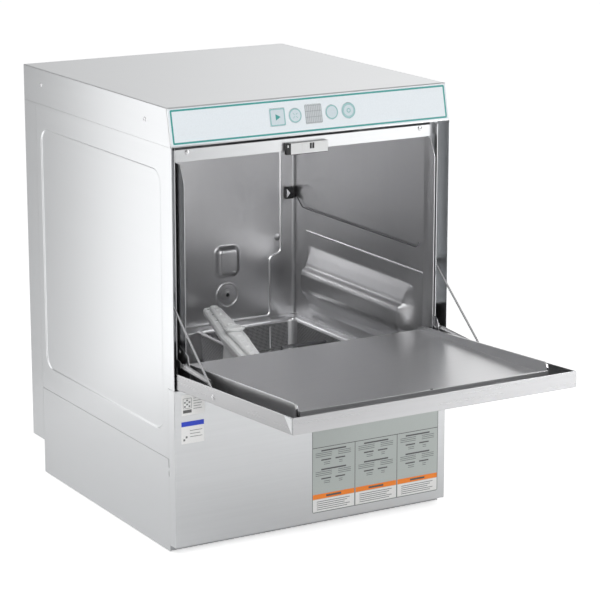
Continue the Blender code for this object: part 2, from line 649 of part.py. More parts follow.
# ---------------------------------------------------------------- machinery under the tank
def make_machinery(cabinet):
    pump_x, pump_z = -0.130, 0.105
    volute = [(0, 0.150), (0.030, 0.150), (0.032, 0.170), (0.060, 0.176), (0.062, 0.214),
              (0.056, 0.222), (0, 0.222)]
    pump = turned("wash_pump", volute, "Y", (pump_x, 0, pump_z), PUMP_PLASTIC, cabinet)
    riser = turned_bmesh(disc(0.020, pump_z, 0.2030), "Z", (pump_x - 0.035, 0.196, 0), 20)
    combine(pump, add_object("pump_riser", riser, PUMP_PLASTIC, cabinet), "UNION")
    motor = [(0, 0.2223), (0.030, 0.2223), (0.052, 0.230), (0.054, 0.240), (0.054, 0.372),
             (0.050, 0.386), (0, 0.390)]
    turned("wash_motor", motor, "Y", (pump_x, 0, pump_z), MOTOR_PAINT, cabinet)
    shell = 0.0020
    tank = [(0.040, 0.142), (0.066, 0.152), (0.070, 0.164), (0.070, 0.430), (0.066, 0.442), (0.040, 0.452)]
    lining = [(radius - shell, min(max(depth, 0.140 + 2 * shell), 0.454 - 2 * shell))
              for radius, depth in reversed(tank)]
    port = 0.008
    tank = [(0, 0.140)] + tank + [(port, 0.454), (port, 0.454 - shell)] + lining + [(0, 0.140 + 2 * shell)]
    turned("booster_heater", tank, "Y", (0.165, 0, 0.105), STEEL, cabinet)
    drain = [(0, 0.300), (0.034, 0.300), (0.036, 0.306), (0.036, 0.340), (0.028, 0.344), (0.028, 0.400),
             (0, 0.402)]
    turned("drain_pump", drain, "Y", (0.015, 0, 0.090), PUMP_PLASTIC, cabinet)
    dosing = prism("dosing_pump", rounded_rectangle((-0.030, 0.100), (0.030, 0.160), 0.010), "Y",
                   0.060, 0.120, PUMP_PLASTIC, cabinet)
    head = turned_bmesh(disc(0.024, 0.040, 0.065), "Y", (0, 0, 0.130), 20)
    combine(dosing, add_object("dosing_head", head, PUMP_PLASTIC, cabinet), "UNION")


def make_connections(cabinet):
    """Water inlet, drain spigot and cable gland, through the chassis and short of the rear cover."""
    inlet_x, inlet_r = PORTS["inlet_valve"]
    drain_x, drain_r = PORTS["drain_outlet"]
    gland_x, gland_r = PORTS["cable_gland"]
    wall_in, wall_out = 0.5930 - 0.0015 - FIT, 0.5930 + FIT
    valve = [(0, 0.535), (0.018, 0.535), (0.022, 0.545), (0.022, wall_in), (inlet_r, wall_in),
             (inlet_r, 0.625), (0.0132, 0.627), (0.008, 0.627), (0.008, 0.610), (0, 0.610)]
    turned("inlet_valve", valve, "Y", (inlet_x, 0, PORT_Z), BRIGHT, cabinet)
    spigot = [(0, 0.560), (0.021, 0.560), (0.021, wall_in), (drain_r, wall_in), (drain_r, 0.640),
              (0.0135, 0.642), (0.0135, 0.605), (0, 0.605)]
    turned("drain_outlet", spigot, "Y", (drain_x, 0, PORT_Z), PUMP_PLASTIC, cabinet)
    gland = [(0, 0.575), (0.0135, 0.575), (0.0135, wall_in), (gland_r, wall_in), (gland_r, wall_out),
             (0.0145, wall_out), (0.0145, 0.606), (0.0110, 0.616), (0.0055, 0.620), (0.0055, 0.600),
             (0, 0.600)]
    turned("cable_gland", gland, "Y", (gland_x, 0, PORT_Z), DARK_PLASTIC, cabinet, 18)


def make_guide_rod(cabinet):
    """Thin rod along the right wall, hooked up at its front and held by a clip in the rear corner."""
    x = WALL_X - 0.0045
    low, clip_y = 0.5215, 0.536
    route = [(x, clip_y - 0.004, 0.541), (x, 0.524, 0.538), (x, 0.512, 0.529), (x, 0.500, 0.5235),
             (x, 0.480, low), (x, 0.300, low), (x, 0.062, low), (x, 0.054, 0.5235), (x, 0.050, 0.529),
             (x, 0.048, 0.533)]
    rod = add_object("guide_rod", tube_bmesh(route, 0.0018), DARK_PLASTIC, cabinet, round_piece=True)
    clip = prism_bmesh(rectangle((0.2500, 0.5345), (WALL_X - 0.0008, 0.5600)), "Y", 0.530, 0.5454)
    combine(rod, add_object("corner_clip", clip, DARK_PLASTIC, cabinet), "UNION")


# ---------------------------------------------------------------- door
def in_door(reach, rise):
    """A point of the door's side view, from its reach ahead of the hinge and rise above the skin."""
    return (-reach, rise - SKIN_DROP)


def door_point(x, reach, rise):
    return (x, *in_door(reach, rise))


def make_door_skin(door):
    x, near, far, flange = DOOR_HALF_WIDTH, -0.004, DOOR_REACH, DOOR_FLANGE

    def quad(*corners):
        return [door_point(*corner) for corner in corners]

    faces = [quad((-x, near, 0), (x, near, 0), (x, far, 0), (-x, far, 0)),
             quad((-x, far, 0), (x, far, 0), (x, far, flange), (-x, far, flange))]
    for edge in (-x, x):
        faces.append(quad((edge, near, 0), (edge, far, 0), (edge, far, flange), (edge, near, flange)))
    skin = sheet("door_outer_skin", faces, (0, 0, 1), STEEL, door)
    y, z = in_door(ROD_BOLT_REACH, ROD_BOLT_RISE)
    holes = [turned_bmesh(disc(0.0025, -0.004, 0.004), "X", (sign * x, y, z), 16) for sign in (-1, 1)]
    combine(skin, add_object("bolt_hole_cutters", joined(holes), STEEL, door), "DIFFERENCE")


LINER_REAR = -0.034
LINER_FRONT = 0.399
LINER_HALF = 0.2620
LINER_LEG = 0.0050          # width of the folded side flanges
LINER_TOP = 0.0440
LINER_LIP = 0.0300


def liner_level(reach):
    """Height of the liner's plate, which falls towards the front edge."""
    share = (reach - LINER_REAR) / (LINER_FRONT - LINER_REAR)
    return 0.0350 + (0.0210 - 0.0350) * share


def make_door_liner(door):
    """Inner tray: a flat plate, folded side flanges and a folded front lip that stand on the skin."""
    half, front, rear, seat = LINER_HALF, LINER_FRONT, LINER_REAR, SHEET + FIT
    knee = -0.003
    stations = [rear, knee, front]
    plate = []
    for near, far in zip(stations, stations[1:]):
        plate.append([door_point(-half, near, liner_level(near)), door_point(half, near, liner_level(near)),
                      door_point(half, far, liner_level(far)), door_point(-half, far, liner_level(far))])
    faces = list(plate)
    corner = 0.010
    chamfer = [(rear, 0.0375), (-0.022, LINER_TOP)]       # clears the sill as the door swings
    for sign in (-1, 1):
        inner, outer = sign * half, sign * (half + LINER_LEG)
        crown = chamfer + [(front - corner, LINER_TOP), (front - 0.3 * corner, LINER_TOP - 0.3 * corner),
                           (front, LINER_TOP - corner)]
        inside = [door_point(inner, reach, liner_level(reach)) for reach in stations]
        faces.append(inside + [door_point(inner, *point) for point in reversed(crown)])
        for first, second in zip(crown, crown[1:]):
            faces.append([door_point(inner, *first), door_point(inner, *second),
                          door_point(outer, *second), door_point(outer, *first)])
        skirt = [(rear, 0.0275), (knee, 0.0275), (knee, seat), (front, seat)]
        faces.append([door_point(outer, *point) for point in crown + skirt[::-1]])
    ledge = front + LINER_LEG
    level = liner_level(front)
    lip = [(front, level), (front, LINER_LIP), (ledge, LINER_LIP), (ledge, seat)]
    inset = 0.0004
    for (reach_a, rise_a), (reach_b, rise_b) in zip(lip, lip[1:]):
        edge_a = half if reach_a == front and rise_a == level else half - inset
        faces.append([door_point(-edge_a, reach_a, rise_a), door_point(edge_a, reach_a, rise_a),
                      door_point(half - inset, reach_b, rise_b), door_point(inset - half, reach_b, rise_b)])
    sheet("door_liner", faces, (0, 0, -1), STEEL, door, 0.0010)


def make_hinge_arms(door):
    """Plates on the door that turn on the hinge pins, one in each side channel."""
    outline = [(-0.003, 0.0016), (0.024, 0.0016), (0.026, 0.030), (0.018, 0.063), (-0.013, 0.078),
               (-0.028, 0.074), (-0.027, 0.050), (-0.008, 0.034), (-0.008, 0.006)]
    for side, sign in SIDES:
        reach = sorted((sign * 0.2746, sign * 0.2768))
        arm = prism(f"hinge_arm_{side}", [in_door(*point) for point in outline], "X", *reach, STEEL, door)
        bore = turned_bmesh(disc(0.0034, reach[0] - 0.002, reach[1] + 0.002), "X", (0, 0, 0), 16)
        combine(arm, add_object(f"arm_bore_{side}", bore, STEEL, door), "DIFFERENCE")


def make_stay_rods(door):
    """Rods that hold the open door: an eye on the door's bolt, and a roller in the cabinet's slot."""
    y, z = in_door(ROD_BOLT_REACH, ROD_BOLT_RISE)
    wire, eye_outer, eye_bore = 0.0022, 0.0060, 0.0026
    for side, sign in SIDES:
        x = sign * ROD_X
        pivot = empty(f"stay_rod_{side}_pivot", door, (0, y, z), (ROD_ANGLE + DOOR_TILT, 0, 0))
        bar = tube_bmesh([(x, 0.004, 0), (x, 0.060, 0), (x, 0.150, 0), (x, ROD_LENGTH - 0.002, 0)], wire)
        rod = add_object(f"stay_rod_{side}", bar, BRIGHT, pivot, round_piece=True)
        eye = turned_bmesh(disc(eye_outer, x - 0.0018, x + 0.0018), "X", (0, 0, 0), 20)
        roller = turned_bmesh(disc(0.0050, x - 0.0025, x + 0.0025), "X", (0, ROD_LENGTH, 0), 16)
        combine(rod, add_object(f"rod_ends_{side}", joined([eye, roller]), BRIGHT, pivot), "UNION")
        bore = turned_bmesh(disc(eye_bore, x - 0.004, x + 0.004), "X", (0, 0, 0), 16)
        combine(rod, add_object(f"rod_bore_{side}", bore, BRIGHT, pivot), "DIFFERENCE")
        shank, head = 0.0021, 0.0045
        profile = [(0, sign * 0.2895), (shank, sign * 0.2895), (shank, sign * 0.2983),
                   (head, sign * 0.2983), (head, sign * 0.2997), (0, sign * 0.2997)]
        turned(f"rod_bolt_{side}", profile, "X", (0, y, z), BRIGHT, door, 16)


def make_springs(cabinet):
    """Counterbalance springs, hooked on the posts' studs and lying along the open door's channels."""
    eye, wire = 0.0034, 0.0010
    coil_start = 0.012
    for side, sign in SIDES:
        x = sign * SPRING_X
        pivot = empty(f"counter_spring_{side}_pivot", cabinet, (0, *SPRING_ANCHOR), (DOOR_TILT, 0, 0))
        profile = [(0, -coil_start), (SPRING_RADIUS - 0.0012, -coil_start), (SPRING_RADIUS, -coil_start - 0.0012),
                   (SPRING_RADIUS, 0.0012 - SPRING_LENGTH), (SPRING_RADIUS - 0.0012, -SPRING_LENGTH),
                   (0, -SPRING_LENGTH)]
        spring = turned(f"counter_spring_{side}", profile, "Y", (x, 0, 0), BRIGHT, pivot, 16)
        hook = arc((0, 0), eye, -160, 160, 10, x)
        hook = [(x, -coil_start - 0.002, 0), (x, -0.0065, -0.0004)] + hook
        hook_piece = add_object(f"spring_hook_{side}", tube_bmesh(hook, wire, 6), BRIGHT, pivot)
        combine(spring, hook_piece, "UNION")


# ---------------------------------------------------------------- assembly
def build():
    clear_scene()
    cabinet = empty("cabinet", None, (0, ORIGIN_SHIFT, 0))
    slope = math.atan2(FASCIA_SETBACK, HEIGHT - HOOD_BOTTOM)
    fascia_middle = (0, FASCIA_SETBACK / 2, (HEIGHT + HOOD_BOTTOM) / 2)
    fascia_plane = empty("fascia_plane", cabinet, fascia_middle, (-slope, 0, 0))
    door = empty("door_hinge", cabinet, (0, HINGE_Y, HINGE_Z), (-DOOR_TILT, 0, 0))
    make_feet(cabinet)
    make_base_frame(cabinet)
    make_side_panels(cabinet)
    make_front_service_panel(cabinet)
    make_rear_cover(cabinet)
    make_hood(cabinet, fascia_plane)
    make_controls(cabinet, fascia_plane)
    make_header(cabinet)
    make_frame_posts(cabinet)
    make_chamber_walls(cabinet)
    make_chamber_back(cabinet)
    make_chamber_shell(cabinet)
    make_tank(cabinet)
    make_spray_arms(cabinet)
    make_machinery(cabinet)
    make_connections(cabinet)
    make_guide_rod(cabinet)
    make_door_skin(door)
    make_door_liner(door)
    make_hinge_arms(door)
    make_stay_rods(door)
    make_springs(cabinet)


build()
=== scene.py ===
"""Looks of an undercounter commercial dishwasher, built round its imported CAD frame."""

import json
import math

import bmesh
import bpy
from mathutils import Matrix, Vector


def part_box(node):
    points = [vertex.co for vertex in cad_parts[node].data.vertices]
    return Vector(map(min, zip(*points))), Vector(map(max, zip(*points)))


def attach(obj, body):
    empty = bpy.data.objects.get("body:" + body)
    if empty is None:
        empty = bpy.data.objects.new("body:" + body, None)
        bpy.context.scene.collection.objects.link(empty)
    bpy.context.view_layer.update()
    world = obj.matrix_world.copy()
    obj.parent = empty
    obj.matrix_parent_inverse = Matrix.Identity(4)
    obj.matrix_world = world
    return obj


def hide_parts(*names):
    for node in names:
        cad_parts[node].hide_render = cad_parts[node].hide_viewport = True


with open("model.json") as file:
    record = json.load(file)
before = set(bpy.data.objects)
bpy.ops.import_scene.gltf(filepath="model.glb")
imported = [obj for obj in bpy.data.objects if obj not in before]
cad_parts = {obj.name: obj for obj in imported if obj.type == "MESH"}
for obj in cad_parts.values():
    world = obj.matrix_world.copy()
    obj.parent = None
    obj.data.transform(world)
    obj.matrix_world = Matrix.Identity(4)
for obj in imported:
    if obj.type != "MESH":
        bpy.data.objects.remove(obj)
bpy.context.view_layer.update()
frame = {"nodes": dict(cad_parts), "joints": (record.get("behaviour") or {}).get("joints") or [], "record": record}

# --- Frames and sizes
JOINTS = {joint["name"]: joint for joint in frame["joints"]}
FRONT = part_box("front_service_panel")[0].y          # front plane of the cabinet
SIDE_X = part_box("upper_side_panel_right")[1].x
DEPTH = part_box("rear_cover")[1].y - FRONT
HEIGHT = max(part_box("control_fascia")[1].z + 0.0015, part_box("top_hood")[1].z)
HOOD_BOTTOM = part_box("top_hood")[0].z
FASCIA_SETBACK = 0.0155                             # how far the fascia leans back over its height
SLOPE = math.atan2(FASCIA_SETBACK, HEIGHT - HOOD_BOTTOM)
HINGE = Vector(JOINTS["door_hinge"]["pos_m"])
TILT = math.radians(90 - JOINTS["door_hinge"]["range_deg"][1])
SKIN_DROP = 0.008                                   # the door skin lies below the hinge
PANEL_TOP = 0.3225                                  # top of the front service panel
PANEL_LIP = 0.024                                   # its return along each side
PANEL_END = 0.5934                                  # rear ends of the side panels
SHEET = 0.0012                                      # thickness of the panels
FIT = 0.0003                                        # gap between neighbours
INK = -0.0003                                       # a printed face, just proud of its panel
SECOND_INK = -0.00038                               # print on top of that

CABINET = Matrix.Translation((0, FRONT, 0))
FASCIA = CABINET @ Matrix.Translation((0, FASCIA_SETBACK / 2, (HEIGHT + HOOD_BOTTOM) / 2)) \
    @ Matrix.Rotation(-SLOPE, 4, "X")
DOOR = Matrix.Translation(HINGE) @ Matrix.Rotation(-TILT, 4, "X") @ Matrix.Translation((0, 0, -SKIN_DROP))
SIDES = (("left", -1), ("right", 1))


# --- Mesh helpers
def place(point, axis, height):
    """A 2D point and a height along an axis, as a 3D point."""
    first, second = point
    return {"X": (height, first, second), "Y": (first, height, second), "Z": (first, second, height)}[axis]


def rectangle(low, high):
    return [(low[0], low[1]), (high[0], low[1]), (high[0], high[1]), (low[0], high[1])]


def shrink(low, high, inset):
    return (low[0] + inset, low[1] + inset), (high[0] - inset, high[1] - inset)


def rounded_rectangle(low, high, radius, steps=4):
    corners = [(high[0] - radius, high[1] - radius, 0), (low[0] + radius, high[1] - radius, 90),
               (low[0] + radius, low[1] + radius, 180), (high[0] - radius, low[1] + radius, 270)]
    outline = []
    for x, y, start in corners:
        for step in range(steps + 1):
            turn = math.radians(start + 90 * step / steps)
            outline.append((x + radius * math.cos(turn), y + radius * math.sin(turn)))
    return outline


def circle(radius, count=32, centre=(0, 0)):
    turns = [2 * math.pi * step / count for step in range(count)]
    return [(centre[0] + radius * math.cos(turn), centre[1] + radius * math.sin(turn)) for turn in turns]


def band(near, far):
    """The quads between two rings with the same number of points."""
    return [list(quad) for quad in zip(near, near[1:] + near[:1], far[1:] + far[:1], far)]


def loft(rings, closed=False):
    """Skin between rings of points that all hold the same number."""
    bm = bmesh.new()
    made = [[bm.verts.new(point) for point in ring] for ring in rings]
    pairs = list(zip(made, made[1:]))
    if closed:
        pairs.append((made[-1], made[0]))
    for lower, upper in pairs:
        for quad in band(lower, upper):
            bm.faces.new(quad)
    if not closed:
        bm.faces.new(made[0])
        bm.faces.new(made[-1])
    bmesh.ops.recalc_face_normals(bm, faces=bm.faces)
    return bm


def prism(outline, axis, low, high):
    return loft([[place(point, axis, height) for point in outline] for height in (low, high)])


def slab(low, high, near, far):
    """A plain block on a face that looks forward, from two (x, z) corners and two depths."""
    return prism(rectangle(low, high), "Y", near, far)


def raised(profile, base, sign=1):
    """A (radius, height) profile moved to stand on a face, towards or away from the axis."""
    return [(radius, base + sign * height) for radius, height in profile]


def ring_prism(outer, inner, axis, low, high):
    """A flat frame between two outlines with the same number of points."""
    rings = [[place(point, axis, height) for point in outline]
             for outline, height in ((outer, low), (outer, high), (inner, high), (inner, low))]
    return loft(rings, closed=True)


def turned(profile, axis, centre=(0, 0, 0), sides=32):
    """A solid of revolution from (radius, height) points that start and end on the axis."""
    bm = bmesh.new()
    rings = []
    for radius, height in profile:
        count = 1 if radius == 0 else sides
        ring = [place(point, axis, height) for point in circle(radius, count)]
        rings.append([bm.verts.new(Vector(centre) + Vector(point)) for point in ring])
    for lower, upper in zip(rings, rings[1:]):
        for side in range(sides):
            after = (side + 1) % sides
            corners = list(dict.fromkeys((lower[side % len(lower)], lower[after % len(lower)],
                                          upper[after % len(upper)], upper[side % len(upper)])))
            if len(corners) > 2:
                bm.faces.new(corners)
    bmesh.ops.recalc_face_normals(bm, faces=bm.faces)
    return bm


def tube(points, radius, sides=10, closed=False):
    """A round wire along a path."""
    path = [Vector(point) for point in points]
    rings = []
    across = None
    for index, here in enumerate(path):
        before = path[index - 1] if closed or index else here
        after = path[(index + 1) % len(path)] if closed or index + 1 < len(path) else here
        along = (after - before).normalized()
        across = along.orthogonal() if across is None else across
        across = (across - along * across.dot(along)).normalized()
        upward = along.cross(across)
        rings.append([here + radius * (x * across + y * upward) for x, y in circle(1, sides)])
    return loft(rings, closed=closed)


def ease(share):
    share = min(max(share, 0.0), 1.0)
    return share * share * (3 - 2 * share)


def round_path(points, radius, steps=5):
    """A polyline with its corners turned into arcs."""
    points = [Vector(point) for point in points]
    path = [points[0]]
    for before, here, after in zip(points, points[1:], points[2:]):
        back, ahead = before - here, after - here
        half = back.angle(ahead) / 2
        reach = min(radius / math.tan(half), 0.49 * back.length, 0.49 * ahead.length)
        start = here + back.normalized() * reach
        end = here + ahead.normalized() * reach
        for step in range(steps + 1):
            share = step / steps
            path.append(start.lerp(here, share).lerp(here.lerp(end, share), share))
    return path + [points[-1]]


def bead(path, normal, width, height):
    """A rounded rib pressed up out of a flat wall, along a path on that wall."""
    sunk = 0.0004
    normal = Vector(normal).normalized()
    rings = []
    for index, here in enumerate(path):
        here = Vector(here)
        along = (Vector(path[min(index + 1, len(path) - 1)]) - Vector(path[max(index - 1, 0)])).normalized()
        side = normal.cross(along)
        ring = []
        for step in range(9):
            across = width * (step / 8 - 0.5)
            rise = height * math.cos(math.pi * across / width) ** 2
            ring.append(here + side * across + normal * rise)
        ring.append(here + side * width / 2 - normal * sunk)
        ring.append(here - side * width / 2 - normal * sunk)
        rings.append(ring)
    return loft(rings)


def merged(*parts):
    """Several solids in one mesh."""
    total = bmesh.new()
    for part in parts:
        scratch = bpy.data.meshes.new("scratch")
        part.to_mesh(scratch)
        part.free()
        total.from_mesh(scratch)
        bpy.data.meshes.remove(scratch)
    return total


def moved(bm, matrix):
    bmesh.ops.transform(bm, matrix=matrix, verts=bm.verts)
    return bm


def soften(bm, width, segments=2, angle=30):
    """Round the sharp edges of a solid."""
    edges = [edge for edge in bm.edges
             if len(edge.link_faces) == 2 and edge.calc_face_angle(0.0) > math.radians(angle)]
    bmesh.ops.bevel(bm, geom=edges, offset=width, segments=segments, profile=0.5,
                    affect="EDGES", clamp_overlap=True)
    return bm


def span(x, start, end):
    """A flat sheet from -x to x between two (y, z) points."""
    return [(-x, *start), (x, *start), (x, *end), (-x, *end)]


def open_faces(faces, grow, radius, segments=3, fill=None):
    """Sheet metal as open faces with round folds, facing the side that its thickness grows to."""
    bm = bmesh.new()
    for corners in faces:
        bm.faces.new([bm.verts.new(corner) for corner in corners])
    bmesh.ops.remove_doubles(bm, verts=bm.verts, dist=0.00001)
    if fill:
        fill(bm)
    bm.faces.ensure_lookup_table()
    bmesh.ops.recalc_face_normals(bm, faces=bm.faces)
    bm.normal_update()
    if bm.faces[0].normal.dot(Vector(grow)) < 0:
        bmesh.ops.reverse_faces(bm, faces=bm.faces)
    if radius:
        bm.normal_update()
        soften(bm, radius, segments)
    return bm


def stand_in(bm):
    """A short-lived object that carries a mesh and its modifier."""
    mesh = bpy.data.meshes.new("scratch")
    bm.to_mesh(mesh)
    bm.free()
    item = bpy.data.objects.new("scratch", mesh)
    bpy.context.scene.collection.objects.link(item)
    return item


def finished(item, *tools):
    """The mesh that an object's modifier makes. The stand-ins are removed."""
    solid = bmesh.new()
    solid.from_object(item, bpy.context.evaluated_depsgraph_get())
    for used in (item, *tools):
        mesh = used.data
        bpy.data.objects.remove(used)
        bpy.data.meshes.remove(mesh)
    return solid


def thick(bm, amount):
    """Give open faces a thickness towards the side they face."""
    item = stand_in(bm)
    wall = item.modifiers.new("thickness", "SOLIDIFY")
    wall.thickness = amount
    wall.offset = 1.0
    wall.use_even_offset = True
    return finished(item)


def cut(bm, *shapes):
    """Cut shapes out of a solid."""
    target, tools = stand_in(bm), stand_in(merged(*shapes))
    step = target.modifiers.new("cut", "BOOLEAN")
    step.object = tools
    step.operation = "DIFFERENCE"
    step.solver = "EXACT"
    return finished(target, tools)


def add(name, bm, look, body="cabinet", matrix=None, replaces=(), smooth=35, weighted=True):
    """Make a piece of the object from a mesh, riding on a body."""
    mesh = bpy.data.meshes.new(name)
    bm.to_mesh(mesh)
    bm.free()
    mesh.shade_smooth()
    mesh.set_sharp_from_angle(angle=math.radians(smooth))
    mesh.materials.append(LOOKS[look])
    item = bpy.data.objects.new(name, mesh)
    bpy.context.scene.collection.objects.link(item)
    item.matrix_world = matrix or (DOOR if body == "door" else CABINET)
    if weighted:
        step = item.modifiers.new("weighted normals", "WEIGHTED_NORMAL")
        step.keep_sharp = True
    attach(item, body)
    if replaces:
        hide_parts(*replaces)


# --- Materials
class Nodes:
    """Short ways to add nodes to a tree. A value is a socket to link or a constant."""

    def __init__(self, tree):
        self.tree = tree

    def put(self, socket, value):
        if isinstance(value, bpy.types.NodeSocket):
            self.tree.links.new(value, socket)
        else:
            socket.default_value = value

    def node(self, kind, **inputs):
        made = self.tree.nodes.new(kind)
        for key, value in inputs.items():
            self.put(made.inputs[key.replace("_", " ")], value)
        return made

    def remap(self, value, low, high, start=0.3, end=0.7):
        return self.node("ShaderNodeMapRange", Value=value, From_Min=start, From_Max=end,
                         To_Min=low, To_Max=high).outputs[0]

    def math(self, kind, first, second=0.0):
        made = self.tree.nodes.new("ShaderNodeMath")
        made.operation = kind
        self.put(made.inputs[0], first)
        self.put(made.inputs[1], second)
        return made.outputs[0]

    def lerp(self, share, first, second):
        made = self.node("ShaderNodeMix", Factor=share)
        self.put(made.inputs[2], first)
        self.put(made.inputs[3], second)
        return made.outputs[0]


class Shader(Nodes):
    """A small builder for one Principled material."""

    def __init__(self, name, metallic=0.0, roughness=0.5, coat=0.0):
        self.material = bpy.data.materials.new(name)
        self.material.use_nodes = True
        super().__init__(self.material.node_tree)
        self.shader = self.tree.nodes["Principled BSDF"]
        self.shader.inputs["Metallic"].default_value = metallic
        self.shader.inputs["Roughness"].default_value = roughness
        self.shader.inputs["Coat Weight"].default_value = coat
        texture = self.tree.nodes.new("ShaderNodeTexCoord")
        self.where, self.facing = texture.outputs["Object"], texture.outputs["Normal"]

    def noise(self, scale, detail=2.0, stretch=(1, 1, 1), roughness=0.5):
        scales = tuple(scale * part for part in stretch)
        mapping = self.node("ShaderNodeMapping", Vector=self.where, Scale=scales)
        return self.node("ShaderNodeTexNoise", Vector=mapping.outputs[0], Scale=1.0, Detail=detail,
                         Roughness=roughness).outputs["Fac"]

    def sideways(self):
        """1 on the faces that look along X, 0 on the others."""
        split = self.node("ShaderNodeSeparateXYZ", Vector=self.facing)
        return self.remap(self.math("ABSOLUTE", split.outputs["X"]), 0, 1, 0.5, 0.8)

    def blend(self, share, first, second):
        """Between two colours, each a socket or an RGB constant."""
        made = self.tree.nodes.new("ShaderNodeMix")
        made.data_type = "RGBA"
        made.clamp_factor = True
        self.put(made.inputs["Factor"], share)
        for socket, value in ((made.inputs[6], first), (made.inputs[7], second)):
            self.put(socket, value if isinstance(value, bpy.types.NodeSocket) else (*value, 1.0))
        return made.outputs[2]

    def tinted(self, source, colour, low, high, start=0.3, end=0.7):
        """A colour that a pattern takes between two brightnesses."""
        return self.blend(self.remap(source, 0, 1, start, end), shade(colour, low), shade(colour, high))

    def colour(self, socket):
        self.tree.links.new(socket, self.shader.inputs["Base Color"])

    def rough(self, socket):
        self.tree.links.new(socket, self.shader.inputs["Roughness"])

    def bump(self, height, strength, distance):
        made = self.node("ShaderNodeBump", Height=height, Strength=strength, Distance=distance)
        self.tree.links.new(made.outputs[0], self.shader.inputs["Normal"])


def shade(colour, factor):
    return tuple(min(part * factor, 1.0) for part in colour)


def grained(name, colour, roughness, spread=0.03, strength=0.008, painted_side_shade=1.0):
    """Stainless sheet: a level brushed grain that runs round its folds, and faint handling marks.

    painted_side_shade is painted shade: it darkens the colour of the faces that look sideways.
    """
    made = Shader(name, metallic=1.0, roughness=roughness)
    long, hair, line = 0.012, 1400, 160            # the grain's stretch, and its two scales per metre
    across, deep = (long, 1, 1), (1, long, 1)
    side = made.sideways()
    fine = made.lerp(side, made.noise(hair, 2, across), made.noise(hair, 2, deep))
    streak = made.lerp(side, made.noise(line, 3, across, 0.6), made.noise(line, 3, deep, 0.6))
    patch = made.noise(3.5, 2)
    tone = made.tinted(streak, colour, 0.975, 1.02)
    tone = made.blend(made.remap(patch, 0, 0.2), tone, shade(colour, 0.93))
    # Painted shade: the faces that look sideways take a darker colour, set by painted_side_shade.
    made.colour(made.blend(side, tone, shade(colour, painted_side_shade)))
    made.rough(made.remap(streak, roughness - spread / 2, roughness + spread / 2))
    made.bump(fine, strength, 0.00012)
    return made.material


def satin(name, colour, roughness):
    """Deep-drawn stainless: no grain, cloudy sheen and water marks."""
    made = Shader(name, metallic=1.0, roughness=roughness)
    cloud = made.noise(5, 3)
    speck = made.noise(260, 2)
    drip = made.noise(38, 3, (1, 1, 0.16))
    tone = made.tinted(cloud, colour, 0.96, 1.03)
    made.colour(made.blend(made.remap(drip, 0, 0.16, 0.45, 0.75), tone, shade(colour, 1.08)))
    sheen = made.remap(drip, roughness - 0.01, roughness + 0.02)
    made.rough(made.math("ADD", made.remap(cloud, -0.02, 0.03), sheen))
    made.bump(speck, 0.05, 0.0001)
    return made.material


def bright(name, colour, roughness):
    """Drawn and polished wire."""
    made = Shader(name, metallic=1.0, roughness=roughness)
    speck = made.noise(420, 2)
    made.colour(made.tinted(speck, colour, 0.88, 1.05))
    made.rough(made.remap(speck, roughness - 0.04, roughness + 0.08))
    made.bump(speck, 0.08, 0.0001)
    return made.material


def galvanised(name, colour):
    """Zinc with its crystal spangle."""
    made = Shader(name, metallic=1.0, roughness=0.45)
    cells = made.node("ShaderNodeTexVoronoi", Vector=made.where, Scale=60).outputs["Distance"]
    made.colour(made.tinted(cells, colour, 0.8, 1.15, 0.1, 0.8))
    made.rough(made.remap(cells, 0.34, 0.56, 0.1, 0.8))
    made.bump(made.noise(300, 2), 0.1, 0.0002)
    return made.material


def plastic(name, colour, roughness, texture=0.1, coat=0.0, variation=0.06):
    """Moulded plastic with a fine spark texture and slight flow marks."""
    made = Shader(name, roughness=roughness, coat=coat)
    flow = made.noise(14, 3)
    grain = made.noise(900, 2)
    made.colour(made.tinted(flow, colour, 1 - variation, 1 + variation))
    both = made.math("ADD", made.math("MULTIPLY", flow, 0.5), made.math("MULTIPLY", grain, 0.5))
    made.rough(made.remap(both, roughness - 0.06, roughness + 0.06, 0.35, 0.65))
    made.bump(grain, texture, 0.00015)
    return made.material


def printed(name, colour, roughness=0.34):
    """Ink or film on a label: even, with a faint fibre."""
    made = Shader(name, roughness=roughness, coat=0.15)
    fibre = made.noise(420, 2)
    made.colour(made.tinted(fibre, colour, 0.975, 1.02))
    made.rough(made.remap(fibre, roughness - 0.03, roughness + 0.04))
    made.bump(fibre, 0.04, 0.0001)
    return made.material


def perforated(name, colour, across, up, pitch):
    """Punched screen: rows of holes in satin steel, painted near black for the shade seen through them. across and
    up pick the sheet's own axes.
    """
    made = Shader(name, metallic=1.0, roughness=0.34)
    axes = made.node("ShaderNodeSeparateXYZ", Vector=made.where).outputs
    wave = 2 * math.pi / pitch
    along = axes[across[0]]
    for extra in across[1:]:
        along = made.math("ADD", along, axes[extra])
    first = made.math("COSINE", made.math("MULTIPLY", along, wave))
    second = made.math("COSINE", made.math("MULTIPLY", axes[up], wave))
    share = made.remap(made.math("ADD", first, second), 0, 1, 0.05, 0.55)
    cloud = made.noise(9, 2)
    # Painted shade: the holes take a near-black colour for the shade seen through them.
    made.colour(made.blend(share, made.tinted(cloud, colour, 0.9, 1.1), (0.05, 0.05, 0.052)))
    made.rough(made.math("ADD", made.math("MULTIPLY", share, 0.35), made.remap(cloud, 0.28, 0.38)))
    made.bump(made.math("MULTIPLY", share, -1.0), 0.5, 0.0006)
    return made.material


